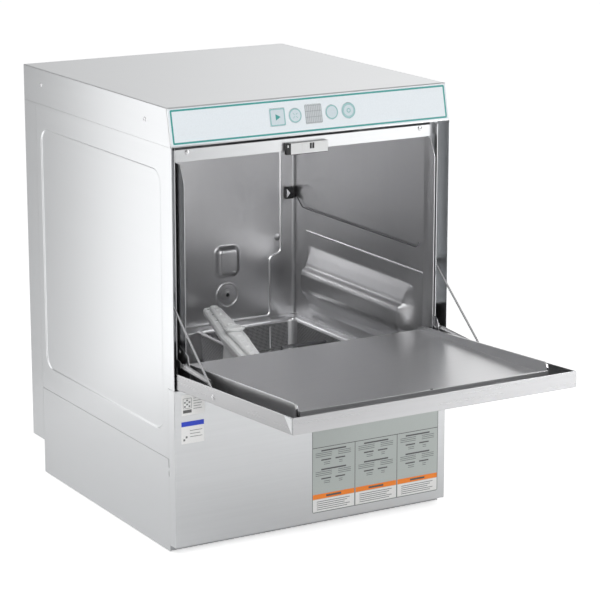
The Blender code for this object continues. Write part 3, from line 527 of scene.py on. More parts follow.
STEEL = (0.68, 0.69, 0.7)
LOOKS = {
    "sheet": grained("brushed_steel", STEEL, 0.3),
    "header_sheet": grained("brushed_steel_header", STEEL, 0.3, 0.012),
    "tray": grained("brushed_steel_tray", (0.7, 0.7, 0.71), 0.34),
    # Painted shade: the door's sheet is painted darker than the cabinet's, and darker still on its sideways
    # flanges.
    "door_sheet": grained("brushed_steel_door_painted_shade", (0.61, 0.61, 0.62), 0.28, 0.02, painted_side_shade=0.7),
    "post": grained("post_steel", (0.46, 0.46, 0.47), 0.3),
    "chamber": satin("chamber_steel", (0.68, 0.68, 0.69), 0.32),
    # Painted shade: the back wall and its corner fillets wear a darker copy of the chamber's steel.
    "back_wall": satin("back_wall_steel_painted_shade", (0.59, 0.59, 0.6), 0.32),
    # Painted highlight: the pressed beads, creases, basket rim and folds wear a lighter copy of the chamber's
    # steel.
    "chamber_bead_painted_highlight": satin("chamber_bead_painted_highlight", (0.92, 0.92, 0.93), 0.3),
    "wire": bright("bright_wire", (0.72, 0.72, 0.73), 0.2),
    "dark_wire": bright("dark_wire", (0.24, 0.24, 0.25), 0.34),
    "rod": bright("rod_steel", (0.46, 0.46, 0.47), 0.3),
    "zinc": galvanised("galvanised_steel", (0.5, 0.51, 0.52)),
    "film": printed("fascia_film", (0.76, 0.81, 0.845)),
    "key": printed("key_film", (0.6, 0.68, 0.72)),
    "teal": printed("teal_ink", (0.045, 0.32, 0.3)),
    "soft_teal": printed("soft_teal_ink", (0.25, 0.5, 0.5)),
    "glass": printed("display_glass", (0.55, 0.58, 0.6), 0.22),
    "segment": printed("display_segment", (0.28, 0.31, 0.33)),
    "grey_plastic": plastic("light_grey_plastic", (0.92, 0.93, 0.93), 0.42),
    "pale_plastic": plastic("pale_plastic", (0.8, 0.81, 0.81), 0.42),
    "black_plastic": plastic("black_plastic", (0.018, 0.018, 0.019), 0.42, variation=0.2),
    "pump": plastic("pump_plastic", (0.07, 0.07, 0.078), 0.48, 0.2, variation=0.15),
    "enamel": plastic("motor_enamel", (0.17, 0.19, 0.22), 0.34, 0.16, 0.3, 0.1),
    # Painted shade: the basket's floor screen is a darker copy of the side screens' steel.
    "screen_floor": perforated("screen_floor", (0.62, 0.62, 0.63), "X", "Y", 0.003),
    "screen_side": perforated("screen_side", (0.7, 0.7, 0.71), "XY", "Z", 0.003),
    "grip": perforated("handle_grip", (0.5, 0.5, 0.51), "X", "Y", 0.005),
    "plate": printed("label_film", (0.5, 0.54, 0.52)),
    "paper": printed("label_paper", (0.85, 0.85, 0.84)),
    "ink": printed("label_ink", (0.1, 0.1, 0.1)),
    "pale_ink": printed("label_pale_ink", (0.16, 0.17, 0.17)),
    "orange": printed("orange_ink", (1.0, 0.26, 0.018)),
    "blue": printed("blue_ink", (0.008, 0.045, 0.55)),
}
# The looks of each material slot. The CAD nodes that stay wear the first.
SLOTS = {
    "brushed_steel": ("sheet", "header_sheet", "tray", "door_sheet", "post"),
    "chamber_steel": ("chamber", "back_wall", "chamber_bead_painted_highlight", "grip", "screen_floor", "screen_side"),
    "bright_wire": ("wire", "dark_wire", "rod"),
    "galvanised_steel": ("zinc",),
    "fascia_film": ("film", "teal", "soft_teal", "plate", "paper", "orange", "blue"),
    "key_film": ("key",),
    "display_window": ("glass", "segment"),
    "light_plastic": ("grey_plastic", "pale_plastic"),
    "dark_plastic": ("black_plastic", "ink", "pale_ink"),
    "pump_plastic": ("pump",),
    "motor_paint": ("enamel",),
}
for row in frame["record"]["subparts"]:
    carried = frame["nodes"][row["node"]]
    carried.data.materials.clear()
    carried.data.materials.append(LOOKS[SLOTS[row["material_slot"]][0]])


# --- Outer panels
def make_hood():
    """The folded hood with its fascia window, and its four dome screws."""
    x, step = SIDE_X, 0.0012
    low, top, back = HOOD_BOTTOM, HEIGHT, DEPTH
    front_low, front_top = step, FASCIA_SETBACK + step
    faces = [span(x, (front_top, top), (back, top)), span(x, (front_low, low), (front_top, top)),
             span(x, (back, low), (back, top))]
    for edge in (-x, x):
        faces.append([(edge, front_low, low), (edge, front_top, top), (edge, back, top), (edge, back, low)])
    hood = thick(open_faces(faces, (0, 0, -1), 0.002), SHEET)
    window = moved(slab((-0.1, -0.022), (0.1, 0.022), -0.004, 0.01),
                   CABINET.inverted() @ FASCIA)
    add("hood_shell", cut(hood, window), "sheet", replaces=["top_hood"])
    head = [(0, -0.0004), (0.0046, -0.0004), (0.0046, 0.0003), (0.004, 0.0008), (0.0026, 0.0011),
            (0.0014, 0.0011), (0.0012, 0.0004), (0, 0.0004)]
    for side, sign in SIDES:
        for end, y, z in (("rear", 0.565, 0.8195), ("front", 0.104, 0.818)):
            profile = raised(head, sign * SIDE_X, sign)
            add(f"hood_screw_{end}_{side}", turned(profile, "X", (0, y, z), 24), "wire")


def make_side_panels():
    """The upper panels with their pressed outline, and the notched lower panels."""
    emboss = (0.044, 0.233), (0.573, 0.733)
    press = 0.0018
    bands = ((0.0, 0.0), (0.0008, 0.08), (0.0016, 0.35), (0.0026, 0.85), (0.0036, 1.0), (0.007, 1.0))
    end, seam, drop, lip = PANEL_END, 0.185, PANEL_TOP + 2 * FIT, PANEL_LIP + FIT
    for side, sign in SIDES:
        x = sign * SIDE_X
        rings = []
        for inset, share in bands:
            low = (emboss[0][0] + inset, emboss[0][1] + inset)
            high = (emboss[1][0] - inset, emboss[1][1] - inset)
            outline = rounded_rectangle(low, high, 0.03 - inset, 8)
            rings.append([place(point, "X", x - sign * press * share) for point in outline])
        faces = [list(rings[-1])]
        for outer, inner in zip(rings, rings[1:]):
            faces += band(inner, outer)
        outline = [(0.0, drop), (lip, drop), (lip, seam + FIT), (end, seam + FIT),
                   (end, HOOD_BOTTOM - FIT), (0.0, HOOD_BOTTOM - FIT)]

        def surround(bm, outline=outline, x=x):
            inner = [edge for edge in bm.edges if edge.is_boundary]
            ring = [bm.verts.new(place(point, "X", x)) for point in outline]
            outer = [bm.edges.new((a, b)) for a, b in zip(ring, ring[1:] + ring[:1])]
            bmesh.ops.triangle_fill(bm, edges=inner + outer, use_beauty=True)

        panel = thick(open_faces(faces, (-sign, 0, 0), 0, fill=surround), SHEET)
        add(f"upper_side_skin_{side}", panel, "sheet", replaces=[f"upper_side_panel_{side}"])
        notch = 0.0016
        outline = [(lip, 0.002), (end, 0.002), (end, seam - FIT), (lip, seam - FIT), (lip, 0.1845),
                   (lip + notch, 0.1845), (lip + notch, 0.168), (lip, 0.168), (lip, 0.161),
                   (lip + notch, 0.161), (lip + notch, 0.151), (lip, 0.151)]
        low, high = sorted((x, x - sign * SHEET))
        add(f"lower_side_skin_{side}", soften(prism(outline, "X", low, high), 0.0003, 1), "sheet",
            replaces=[f"lower_side_panel_{side}"])


def make_front_panel():
    x, low, top, lip, shelf, inset = SIDE_X, 0.015, PANEL_TOP, PANEL_LIP, 0.016, 0.006
    faces = [span(x, (0, low), (0, top))]
    for edge in (-x, x):
        faces.append([(edge, 0, low), (edge, 0, top), (edge, lip, top), (edge, lip, low)])
    for z in (low, top):
        faces.append([(-x, 0, z), (x, 0, z), (x - inset, shelf, z), (-x + inset, shelf, z)])
    panel = thick(open_faces(faces, (0, 1, 0), 0.0018), SHEET)
    add("front_panel_skin", panel, "sheet", replaces=["front_service_panel"])


def make_rear_cover():
    x, front, back, low, top = SIDE_X, PANEL_END + FIT, DEPTH, 0.07, HOOD_BOTTOM - FIT
    faces = [span(x, (back, low), (back, top)), span(x, (front, low), (back, low))]
    for edge in (-x, x):
        faces.append([(edge, front, low), (edge, back, low), (edge, back, top), (edge, front, top)])
    cover = thick(open_faces(faces, (0, -1, 0), 0.002), SHEET)
    add("rear_cover_skin", cover, "sheet", replaces=["rear_cover"])


# --- Controls
KEY_ROW = 0.001
KEYS = {"start_key": (-0.0759, 0.0165), "cycle_key": (-0.038, 0.0138),
        "menu_key": (0.0412, 0.0138), "power_key": (0.0779, 0.0151)}


def key_ring(half, square, inset=0.0):
    if square:
        return rounded_rectangle((inset - half, inset - half), (half - inset, half - inset), 0.0022, 7)
    return circle(half - inset, 32)


def make_controls():
    """The film's border, the four keys with plain symbols, and the display's grid."""
    low, high = (-0.2966, -0.0312), (0.2966, 0.0322)
    width = 0.0034
    inner = rounded_rectangle(*shrink(low, high, width), 0.001)
    border = ring_prism(rounded_rectangle(low, high, 0.0026), inner, "Y", -0.00012, 0.0001)
    add("fascia_border", border, "teal", matrix=FASCIA)
    for name, (x, half) in KEYS.items():
        square = name == "start_key"
        here = FASCIA @ Matrix.Translation((x, 0, KEY_ROW))
        steps = ((0.0, 0.004), (0.0, -0.0002), (0.0004, -0.0006), (0.0014, -0.0008), (half * 0.4, -0.00088),
                 (half * 0.8, -0.0009))
        rings = [[place(point, "Y", y) for point in key_ring(half, square, inset)] for inset, y in steps]
        add(f"{name}_dome", loft(rings), "key", name, here, replaces=[name])
        print_y = (-0.00098, -0.0007)
        line = ring_prism(key_ring(half, square, 0.0007), key_ring(half, square, 0.0026), "Y", *print_y)
        add(f"{name}_outline", line, "soft_teal", name, here)
        if name == "start_key":
            arrow = [(-0.0042, -0.006), (0.0062, 0.0), (-0.0042, 0.006)]
            add("start_symbol", prism(arrow, "Y", -0.00102, -0.0007), "teal", name, here)
        elif name == "power_key":
            second = ring_prism(circle(0.0118), circle(0.0106), "Y", -0.001, -0.0007)
            centre = ring_prism(circle(0.0044), circle(0.0026), "Y", -0.00102, -0.0007)
            add("power_symbol", merged(second, centre), "soft_teal", name, here)
        else:
            arcs = []
            for turn in range(4):
                bar = slab((0.002, -0.0005), (0.0068, 0.0005), -0.001, -0.0007)
                arcs.append(moved(bar, Matrix.Rotation(math.radians(90 * turn + 45), 4, "Y")))
            add(f"{name}_symbol", merged(*arcs), "key" if name == "menu_key" else "soft_teal", name, here)
    here = FASCIA @ Matrix.Translation((0.0018, 0, KEY_ROW))
    bars = []
    half = 0.0174
    for step in range(10):
        x = -half + 2 * half * step / 9
        bars.append(slab((x - 0.0004, -0.016), (x + 0.0004, 0.016), -0.00045, 0.0))
    for z in (-0.016, -0.0054, 0.0054, 0.016):
        bars.append(slab((-half, z - 0.0005), (half, z + 0.0005), -0.0005, 0.0))
    add("display_grid", merged(*bars), "segment", matrix=here)


# --- Header, latch and posts
def make_header():
    """The bar under the hood with its screws, the latch plate and the door switch."""
    x, face, low, top = 0.278, 0.0306, 0.746, HOOD_BOTTOM - 0.001
    rows = [(face + 0.014, low), (face, low), (face, top - 0.0095), (face + 0.013, top)]
    faces = [span(x, *pair) for pair in zip(rows, rows[1:])]
    faces = faces[1:] + faces[:1]
    bar = thick(open_faces(faces, (0, 1, 0), 0.0005, 2), SHEET)
    add("header_bar_skin", bar, "header_sheet", replaces=["header_bar"])
    head = raised([(0, -0.001), (0.0048, -0.001), (0.0048, 0), (0.0042, 0.0008), (0.0024, 0.0012),
                   (0.0012, 0.0012), (0.0011, 0.0002), (0, 0.0002)], face, -1)
    for side, sign in SIDES:
        add(f"header_screw_{side}", turned(head, "Y", (sign * 0.2535, 0, 0.7635), 24), "wire")
    low, top = 0.74, 0.7612
    plate = soften(slab((-0.0385, low), (0.042, top), 0.0225, face - FIT), 0.0006, 2)
    slots = (0.0024, 0.0078)
    holes = [slab((left, 0.748), (left + 0.0046, 0.7592), 0.018, 0.0262) for left in slots]
    holes.append(slab((-0.033, 0.745), (-0.013, 0.759), 0.018, 0.0229))
    add("latch_plate_body", cut(plate, *holes), "pale_plastic", replaces=["latch_plate"])
    # Black inserts fill the two slots. The last strip is painted shade: a thin black line under the latch plate,
    # where its shadow falls.
    inserts = [slab((left + 0.0002, 0.7482), (left + 0.0044, 0.759), 0.023, 0.0262)
               for left in slots]
    inserts.append(slab((-0.038, 0.739), (0.0415, 0.7398), 0.023, face - FIT))
    add("latch_slot_inserts_and_shade_line", merged(*inserts), "black_plastic")
    block = soften(slab((-0.048, low), (-0.0388, top), 0.0215, face - FIT), 0.0007, 2)
    add("door_switch_body", block, "black_plastic", replaces=["door_switch"])
    mark = slab((-0.0465, 0.754), (-0.044, 0.7585), 0.0212, 0.0217)
    add("switch_plunger", mark, "pale_plastic")


# --- Wash chamber
WALL_X = 0.271
CHAMBER_BACK = 0.546
CHAMBER_TOP = 0.7905
RAIL_PROFILE = ((0.262, 0.0), (0.305, 0.0), (0.32, 0.006), (0.34, 0.021), (0.349, 0.0265),
                (0.358, 0.028), (0.386, 0.028), (0.394, 0.025), (0.401, 0.0155), (0.408, 0.0135),
                (0.426, 0.0065), (0.441, 0.0), (0.8, 0.0))


def rail_rise(z):
    """How far the rail stands in from the wall at a height."""
    for (z0, r0), (z1, r1) in zip(RAIL_PROFILE, RAIL_PROFILE[1:]):
        if z0 <= z <= z1:
            return r0 + (r1 - r0) * (z - z0) / (z1 - z0)
    return 0.0


def soft_rise(z, reach=0.0014):
    """The rail's profile with its folds rounded."""
    offsets = [reach * step / 3 for step in range(-3, 4)]
    weights = [4 - abs(step) for step in range(-3, 4)]
    return sum(rail_rise(z + offset) * weight for offset, weight in zip(offsets, weights)) / sum(weights)


def wall_front(z):
    """The depth of a side wall's front edge at a height."""
    if z < 0.327:
        return 0.026
    if z > 0.71:
        return 0.006 + (z - 0.71) * 0.47
    return 0.006


def make_chamber_walls():
    """Side walls, each pressed inward into a rack rail that dies away at both ends."""
    heights = [0.262, 0.28, 0.296]
    heights += [0.3 + 0.0022 * step for step in range(69)]
    heights += [0.456, 0.464, 0.5, 0.56, 0.62, 0.68, 0.71, 0.728, 0.744]
    top_heights = [0.7455, 0.76, CHAMBER_TOP]
    depths = [0.02, 0.0355, 0.0375, 0.04, 0.046, 0.052, 0.058]
    depths += [0.058 + 0.038 * step / 10 for step in range(1, 11)]
    depths += [0.16, 0.24, 0.32, 0.4, 0.468]
    depths += [0.468 + 0.024 * step / 7 for step in range(1, 8)]
    depths += [0.51, CHAMBER_BACK - FIT]
    for side, sign in SIDES:
        def corner(y, z, sign=sign):
            front = ease((y - 0.058) / 0.038)
            rear = ease((0.492 - y) / 0.024)
            flare = 0.0015 * (1 - ease((y - 0.0355) / 0.003))
            return (sign * (WALL_X + flare - soft_rise(z) * front * rear), y, z)

        faces = []
        for low, high in zip(heights, heights[1:]):
            near_low, near_high = wall_front((low + high) / 2), wall_front((low + high) / 2)
            if low >= 0.7099:
                near_low, near_high = wall_front(low), wall_front(high)
            line = [depth for depth in depths if depth > max(near_low, near_high) + 0.002]
            ends = [(near_low, near_high)] + [(depth, depth) for depth in line]
            for (a, b), (c, d) in zip(ends, ends[1:]):
                faces.append([corner(a, low), corner(c, low), corner(d, high), corner(b, high)])
        line = [depth for depth in depths if depth > 0.0455]
        for low, high in zip([0.744] + top_heights, top_heights):
            for near, far in zip(line, line[1:]):
                faces.append([corner(near, low), corner(far, low), corner(far, high), corner(near, high)])
        wall = thick(open_faces(faces, (sign, 0, 0), 0), SHEET)
        add(f"chamber_wall_skin_{side}", wall, "chamber", replaces=[f"chamber_wall_{side}"], smooth=50,
            weighted=False)
        x = sign * WALL_X
        crease = bead([(x, 0.042, 0.472), (x, 0.26, 0.472), (x, 0.493, 0.472)], (-sign, 0, 0), 0.0048, 0.0011)
        add(f"wall_crease_{side}", crease, "chamber_bead_painted_highlight")


def pressed(outline, steps, face, sink=0.0006):
    """A boss on the back wall from a (inset, rise) profile."""
    low, high, radius = outline
    rings = [[(x, face + sink, z) for x, z in rounded_rectangle(low, high, radius, 6)]]
    for inset, rise in steps:
        ring = rounded_rectangle((low[0] + inset, low[1] + inset), (high[0] - inset, high[1] - inset),
                                 max(radius - inset, 0.002), 6)
        rings.append([(x, face - rise, z) for x, z in ring])
    return loft(rings)


def make_back_wall():
    """The back wall with its square boss, round port, dimple and pressed outline."""
    face, x = CHAMBER_BACK, WALL_X - FIT
    wall = slab((-x, 0.262), (x, CHAMBER_TOP), face, face + SHEET)
    boss = pressed(((0.0735, 0.377), (0.1385, 0.451), 0.018),
                   ((0.0, 0.0), (0.002, 0.0003), (0.004, 0.0014), (0.006, 0.0038), (0.0085, 0.0078),
                    (0.011, 0.0104), (0.014, 0.0117), (0.017, 0.012)), face)
    centre = (0.1075, 0, 0.341)
    port = [(0, -0.0006), (0.029, -0.0006), (0.029, 0), (0.0275, 0.0022), (0.0255, 0.0032), (0.0235, 0.0024),
            (0.022, -0.0002), (0.0205, 0.0004), (0.015, 0.0006), (0.0143, 0.0018), (0.0085, 0.002),
            (0.0078, 0.0028), (0.0044, 0.003), (0.004, 0.0008), (0, 0.0008)]
    dimple = [(0, -0.0004), (0.008, -0.0004), (0.008, 0), (0.006, 0.0006), (0.0035, 0.002), (0, 0.0024)]
    # The back wall wears the darker back_wall look, which is painted shade.
    add("back_wall_skin", merged(wall, boss, turned(raised(port, face, -1), "Y", centre, 40),
                                 turned(raised(dimple, face, -1), "Y", (0.23, 0, 0.453), 24)),
        "back_wall", replaces=["chamber_back_wall"], smooth=50)
    # Painted shade: a black disc stands for the dark inside of the hole at the port's centre.
    hole = raised([(0, 0.0007), (0.0041, 0.0007), (0.0038, 0.0012), (0, 0.0012)], face, -1)
    add("port_hole", turned(hole, "Y", centre, 20), "black_plastic")
    outline = [(0.238, 0.7885), (0.238, 0.421), (0.211, 0.411), (0.211, 0.283)]
    outline += [(-x, z) for x, z in reversed(outline)]
    route = round_path([(x, face, z) for x, z in outline], 0.012, 6)
    add("back_wall_outline", bead(route, (0, -1, 0), 0.0052, 0.0018), "chamber_bead_painted_highlight")
    for side, sign in SIDES:
        wall_x, reach = WALL_X - 0.0002, 0.008
        fillet = [(sign * wall_x, face)]
        for step in range(7):
            turn = math.radians(90 * step / 6)
            fillet.append((sign * (wall_x - reach * (1 - math.sin(turn))),
                           face - reach * (1 - math.cos(turn))))
        add(f"corner_fillet_{side}", prism(fillet, "Z", 0.2835, 0.789), "back_wall", smooth=40)


def make_guide_rod():
    x, low = WALL_X - 0.0045, 0.5215
    route = round_path([(x, 0.533, 0.541), (x, 0.5235, 0.54), (x, 0.503, low + 0.001), (x, 0.48, low),
                        (x, 0.3, low), (x, 0.06, low), (x, 0.052, 0.527), (x, 0.048, 0.533)], 0.01, 5)
    add("guide_rod_wire", tube(route, 0.0012, 10), "dark_wire", replaces=["guide_rod"])
    clip = soften(slab((0.248, 0.5345), (0.266, 0.56), 0.5385, 0.5454), 0.001, 2)
    add("guide_rod_clip", clip, "black_plastic")
    # Painted highlight: a bright metal triangle on the clip's face stands for light on one of its facets.
    facet = [(0.2492, 0.5375), (0.2575, 0.547), (0.2492, 0.5575)]
    add("clip_facet_painted_highlight", prism(facet, "Y", 0.538, 0.539), "wire")


# --- Tank and basket
def basin(steps, amount, open_bottom=False):
    """A drawn bowl from (corners, corner radius, height) steps, down from its rim."""
    rings = [[(x, y, z) for x, y in rounded_rectangle(*corners, radius, 6)] for corners, radius, z in steps]
    faces = []
    for upper, lower in zip(rings, rings[1:]):
        faces += band(upper, lower)
    if not open_bottom:
        faces.append(rings[-1])
    return thick(open_faces(faces, (0, 0, -1), 0), amount)


def make_tank():
    """The drawn tank, and the perforated basket with its rolled rim and handle."""
    x, rim, floor = WALL_X - FIT, 0.2808, 0.205
    outer = (-x, 0.0555), (x, CHAMBER_BACK - FIT)
    mouth = (-0.246, 0.085), (0.246, 0.502)
    steps = [(outer, 0.002, rim)]
    for inset, radius, z in ((-0.003, 0.03, rim), (-0.0008, 0.028, rim - 0.0006), (0, 0.027, rim - 0.003),
                             (0.0016, 0.026, floor + 0.012), (0.004, 0.024, floor + 0.003),
                             (0.01, 0.02, floor)):
        steps.append((shrink(*mouth, inset), radius, z))
    add("wash_tank_skin", basin(steps, SHEET), "chamber", replaces=["wash_tank"], smooth=50, weighted=False)
    rim = 0.2823
    edge = (0.009, 0.088), (0.252, 0.508)
    roll = ((0, 0.014, 0), (0.0006, 0.0135, 0.0018), (0.0022, 0.012, 0.003), (0.0042, 0.011, 0.003),
            (0.006, 0.01, 0.0016), (0.0076, 0.009, -0.001), (0.0082, 0.0085, -0.006))
    steps = [(shrink(*edge, inset), radius, rim + rise) for inset, radius, rise in roll]
    add("basket_rim", basin(steps, 0.0008, open_bottom=True), "chamber_bead_painted_highlight", replaces=["filter_basket"],
        smooth=50, weighted=False)
    inner, bottom = shrink(*edge, 0.0082), 0.2226
    steps = [(inner, 0.0085, rim - 0.0058), (shrink(*inner, 0.001), 0.008, 0.235),
             (shrink(*inner, 0.0018), 0.0075, bottom)]
    add("basket_screen_sides", basin(steps, 0.0008, open_bottom=True), "screen_side", smooth=50)
    screen = prism(rounded_rectangle(*shrink(*edge, 0.01), 0.007, 6), "Z", bottom - 0.001, bottom)
    add("basket_screen_floor", screen, "screen_floor")
    back = inner[1][1]
    folds = [bead([(x, back - 0.0012, 0.272), (x, back - 0.0016, 0.224)], (0, -1, 0), 0.0036, 0.001)
             for x in (0.185, 0.11, 0.04)]
    add("basket_folds", merged(*folds), "chamber_bead_painted_highlight")
    bar_y, bar_z, left, right = 0.332, 0.2735, 0.118, 0.222
    route = [(left, bar_y, bottom), (left, bar_y, bar_z), (right, bar_y, bar_z), (right, bar_y, bottom)]
    wire = tube(round_path(route, 0.006, 6), 0.0022, 10)
    border = rounded_rectangle((left - 0.001, bar_y - 0.0075), (right + 0.001, bar_y + 0.0075), 0.0072, 6)
    border = tube([(x, y, bar_z + 0.0005) for x, y in border], 0.0011, 8, closed=True)
    add("basket_handle", merged(wire, border), "dark_wire")
    strip = rounded_rectangle((left, bar_y - 0.0068), (right, bar_y + 0.0068), 0.0066, 6)
    add("basket_grip", prism(strip, "Z", bar_z - 0.0004, bar_z + 0.0004), "grip")


# --- Spray arms
HUB = (-0.016, 0.292)
HEADING = math.radians(17)


def arm_outline(half_length, tip, middle, corner):
    x, y = tip - corner, half_length - corner
    quarter = [(middle, 0.0), (middle, 0.024), (middle - 0.0015, 0.04), (tip + 0.001, y - 0.03), (tip, y)]
    for step in range(1, 6):
        turn = math.radians(90 * step / 5)
        quarter.append((x + corner * math.cos(turn), y + corner * math.sin(turn)))
    right = [(x, -y) for x, y in reversed(quarter[1:])] + quarter
    return right + [(-x, -y) for x, y in right]


def make_arm(name, low, high, half_length, tip, middle, up):
    """One spray arm: a moulded hollow bar with nozzles on the side that faces the dishes."""
    here = CABINET @ Matrix.Translation((*HUB, 0)) @ Matrix.Rotation(-HEADING, 4, "Z")
    wide = middle > 0.02
    outline = arm_outline(half_length, tip, middle, min(0.012, 0.8 * tip))
    face, back, sign = (high, low, 1) if up else (low, high, -1)
    side = 0.003 if wide else 0.0022
    steps = [(0.003, back), (0.0006, back + sign * 0.001), (0.0, back + sign * 0.003),
             (0.0, face - sign * (side + 0.0016)), (0.001, face - sign * (side + 0.0004)),
             (0.003, face - sign * 0.0008), (0.0055, face)]
    rings = [[(x * (1 - inset / middle), y * (1 - inset / half_length), z) for x, y in outline]
             for inset, z in steps]
    hole = [(0, low - 0.002), (0.0076, low - 0.002), (0.0076, high + 0.002), (0, high + 0.002)]
    solid = cut(loft(rings), turned(hole, "Z", sides=24))
    add(f"{name}_body", solid, "grey_plastic", name, here, replaces=[name], smooth=32)
    details, jets = [], []
    if wide:
        boss = raised([(0, -0.001), (0.0062, -0.001), (0.006, 0.0004), (0.0048, 0.001), (0.0026, 0.001),
                       (0.0024, -0.0002), (0, -0.0002)], face, sign)
        for index, reach in enumerate((0.062, 0.112, 0.16, 0.205)):
            for way in (-1, 1):
                x, y = -way * 0.012 if index % 2 else -way * 0.01, way * reach
                details.append(turned(boss, "Z", (x, y, 0), 20))
                slot = rounded_rectangle((x - 0.0034, y - 0.0009), (x + 0.0034, y + 0.0009), 0.0008, 3)
                jets.append(prism(slot, "Z", *sorted((face - sign * 0.0004, face + sign * 0.00115))))
        for way in (1, -1):
            line = ((0.015, 0.035), (0.013, 0.12), (0.0115, half_length - 0.016))
            line = [(way * x, way * y, face) for x, y in line]
            details.append(bead(line, (0, 0, sign), 0.0022, 0.0007))
    else:
        dome = raised([(0, -0.001), (0.0044, -0.001), (0.0042, 0.0003), (0.003, 0.0013), (0.0016, 0.0014),
                       (0.0012, 0.0004), (0, 0.0004)], face, sign)
        jet = raised([(0, 0), (0.0013, 0), (0.0013, 0.0007), (0, 0.0007)], face, sign)
        for reach in (0.05, 0.09, 0.13, 0.17, 0.198):
            for way in (-1, 1):
                details.append(turned(dome, "Z", (0, way * reach, 0), 18))
                jets.append(turned(jet, "Z", (0, way * reach, 0), 12))
    add(f"{name}_nozzles", merged(*details), "grey_plastic", name, here)
    # Painted shade: the jets are black slots and dots for the dark inside of the nozzle holes.
    add(f"{name}_jets", merged(*jets), "black_plastic", name, here)


def make_arms():
    make_arm("lower_wash_arm", 0.3152, 0.3292, 0.232, 0.02, 0.027, True)
    make_arm("lower_rinse_arm", 0.3302, 0.3382, 0.212, 0.009, 0.015, True)
    make_arm("upper_wash_arm", 0.7478, 0.7618, 0.232, 0.02, 0.027, False)
    make_arm("upper_rinse_arm", 0.7382, 0.7462, 0.212, 0.009, 0.015, False)
    cap = [(0, 0), (0.02, 0), (0.021, 0.0008), (0.021, 0.003), (0.0196, 0.0038), (0.018, 0.0038),
           (0.0172, 0.0046), (0.0166, 0.006), (0.015, 0.0068), (0.011, 0.007), (0.0104, 0.006), (0, 0.0058)]
    for name, base, sign in (("lower", 0.3391, 1), ("upper", 0.7373, -1)):
        parts = [turned(raised(cap, base, sign), "Z", (*HUB, 0), 40)]
        for turn in range(3):
            fin = rounded_rectangle((0.015, -0.003), (0.0222, 0.003), 0.0014)
            fin = prism(fin, "Z", *sorted((base, base + sign * 0.0052)))
            spin = Matrix.Rotation(math.radians(120 * turn + 200), 4, "Z")
            parts.append(moved(fin, Matrix.Translation((*HUB, 0)) @ spin))
        add(f"{name}_cap_body", merged(*parts), "pale_plastic", replaces=[f"{name}_spindle_cap"])


# --- Door
def on_door(x, reach, rise):
    """A point on the door: reach runs out from the hinge, and rise up from the skin."""
    return (x, -reach, rise)


LINER_REAR, LINER_FRONT, LINER_HALF, LINER_LEG = -0.034, 0.399, 0.262, 0.005
LINER_TOP, LINER_LIP = 0.044, 0.03


def liner_level(reach):
    return 0.035 - 0.014 * (reach - LINER_REAR) / (LINER_FRONT - LINER_REAR)


def make_door_skin():
    """The door's outer sheet with its side flanges, mitred corners and hems."""
    x, near, far, flange = 0.298, -0.004, 0.4415, 0.03
    faces = [span(x, (-near, 0), (-far, 0)), span(x, (-far, 0), (-far, flange))]
    for edge in (-x, x):
        faces.append([on_door(edge, near, 0), on_door(edge, far, 0), on_door(edge, far, flange),
                      on_door(edge, near, flange)])
    add("door_skin", thick(open_faces(faces, (0, 0, 1), 0.0016), SHEET), "door_sheet", "door",
        replaces=["door_outer_skin"])
    for side, sign in SIDES:
        corners = [(-0.413, 0.0295, 0.0001), (-0.44, 0.0295, 0.0018), (-0.4395, 0.0022, 0.0018)]
        rings = [[(sign * (x - 0.0006), y, z) for y, z, _ in corners],
                 [(sign * (x + proud), y, z) for y, z, proud in corners]]
        add(f"door_mitre_{side}", loft(rings), "sheet", "door", smooth=10)
        hem = prism([(0.002, 0.0294), (-0.4395, 0.0294), (-0.4395, 0.0306), (0.002, 0.0306)], "X",
                    *sorted((sign * (x - 0.0017), sign * (x - 0.0001))))
        add(f"door_hem_{side}", soften(hem, 0.0004, 2), "sheet", "door")
    hem = slab((-x + 0.002, 0.0294), (x - 0.002, 0.0306), -far + 0.0001, -far + 0.0026)
    add("door_hem_front", soften(hem, 0.0005, 2), "header_sheet", "door")


def make_door_liner():
    """The inner tray: a level plate, a side flange each way and a front lip."""
    half, front, rear, seat = LINER_HALF, LINER_FRONT, LINER_REAR, SHEET + FIT
    knee, corner = -0.003, 0.01
    stations = [rear, knee, front]
    faces = []
    for near, far in zip(stations, stations[1:]):
        faces.append(span(half, (-near, liner_level(near)), (-far, liner_level(far))))
    for sign in (-1, 1):
        inner, outer = sign * half, sign * (half + LINER_LEG)
        crown = [(rear, 0.0375), (-0.022, LINER_TOP), (front - corner, LINER_TOP),
                 (front - 0.3 * corner, LINER_TOP - 0.3 * corner), (front, LINER_TOP - corner)]
        inside = [on_door(inner, reach, liner_level(reach)) for reach in stations]
        faces.append(inside + [on_door(inner, *point) for point in reversed(crown)])
        for first, second in zip(crown, crown[1:]):
            faces.append([on_door(inner, *first), on_door(inner, *second),
                          on_door(outer, *second), on_door(outer, *first)])
        skirt = [(rear, 0.0275), (knee, 0.0275), (knee, seat), (front, seat)]
        faces.append([on_door(outer, *point) for point in crown + skirt[::-1]])
    level = liner_level(front)
    lip = [(front, level), (front, LINER_LIP), (front + LINER_LEG, LINER_LIP), (front + LINER_LEG, seat)]
    inset = 0.0004
    for index, ((reach_a, rise_a), (reach_b, rise_b)) in enumerate(zip(lip, lip[1:])):
        edge_a = half if index == 0 else half - inset
        faces.append([on_door(-edge_a, reach_a, rise_a), on_door(edge_a, reach_a, rise_a),
                      on_door(half - inset, reach_b, rise_b), on_door(inset - half, reach_b, rise_b)])
    liner = thick(open_faces(faces, (0, 0, -1), 0.001, 2), 0.001)
    add("door_liner_skin", liner, "tray", "door", replaces=["door_liner"])
    # Painted shade: a black disc stands for the dark inside of a hole in the lip.
    pip = turned([(0, 0.0298), (0.0026, 0.0298), (0.0026, 0.0306), (0, 0.0306)], "Z", (0.01, -0.4015, 0), 16)
    add("lip_hole", pip, "black_plastic", "door")


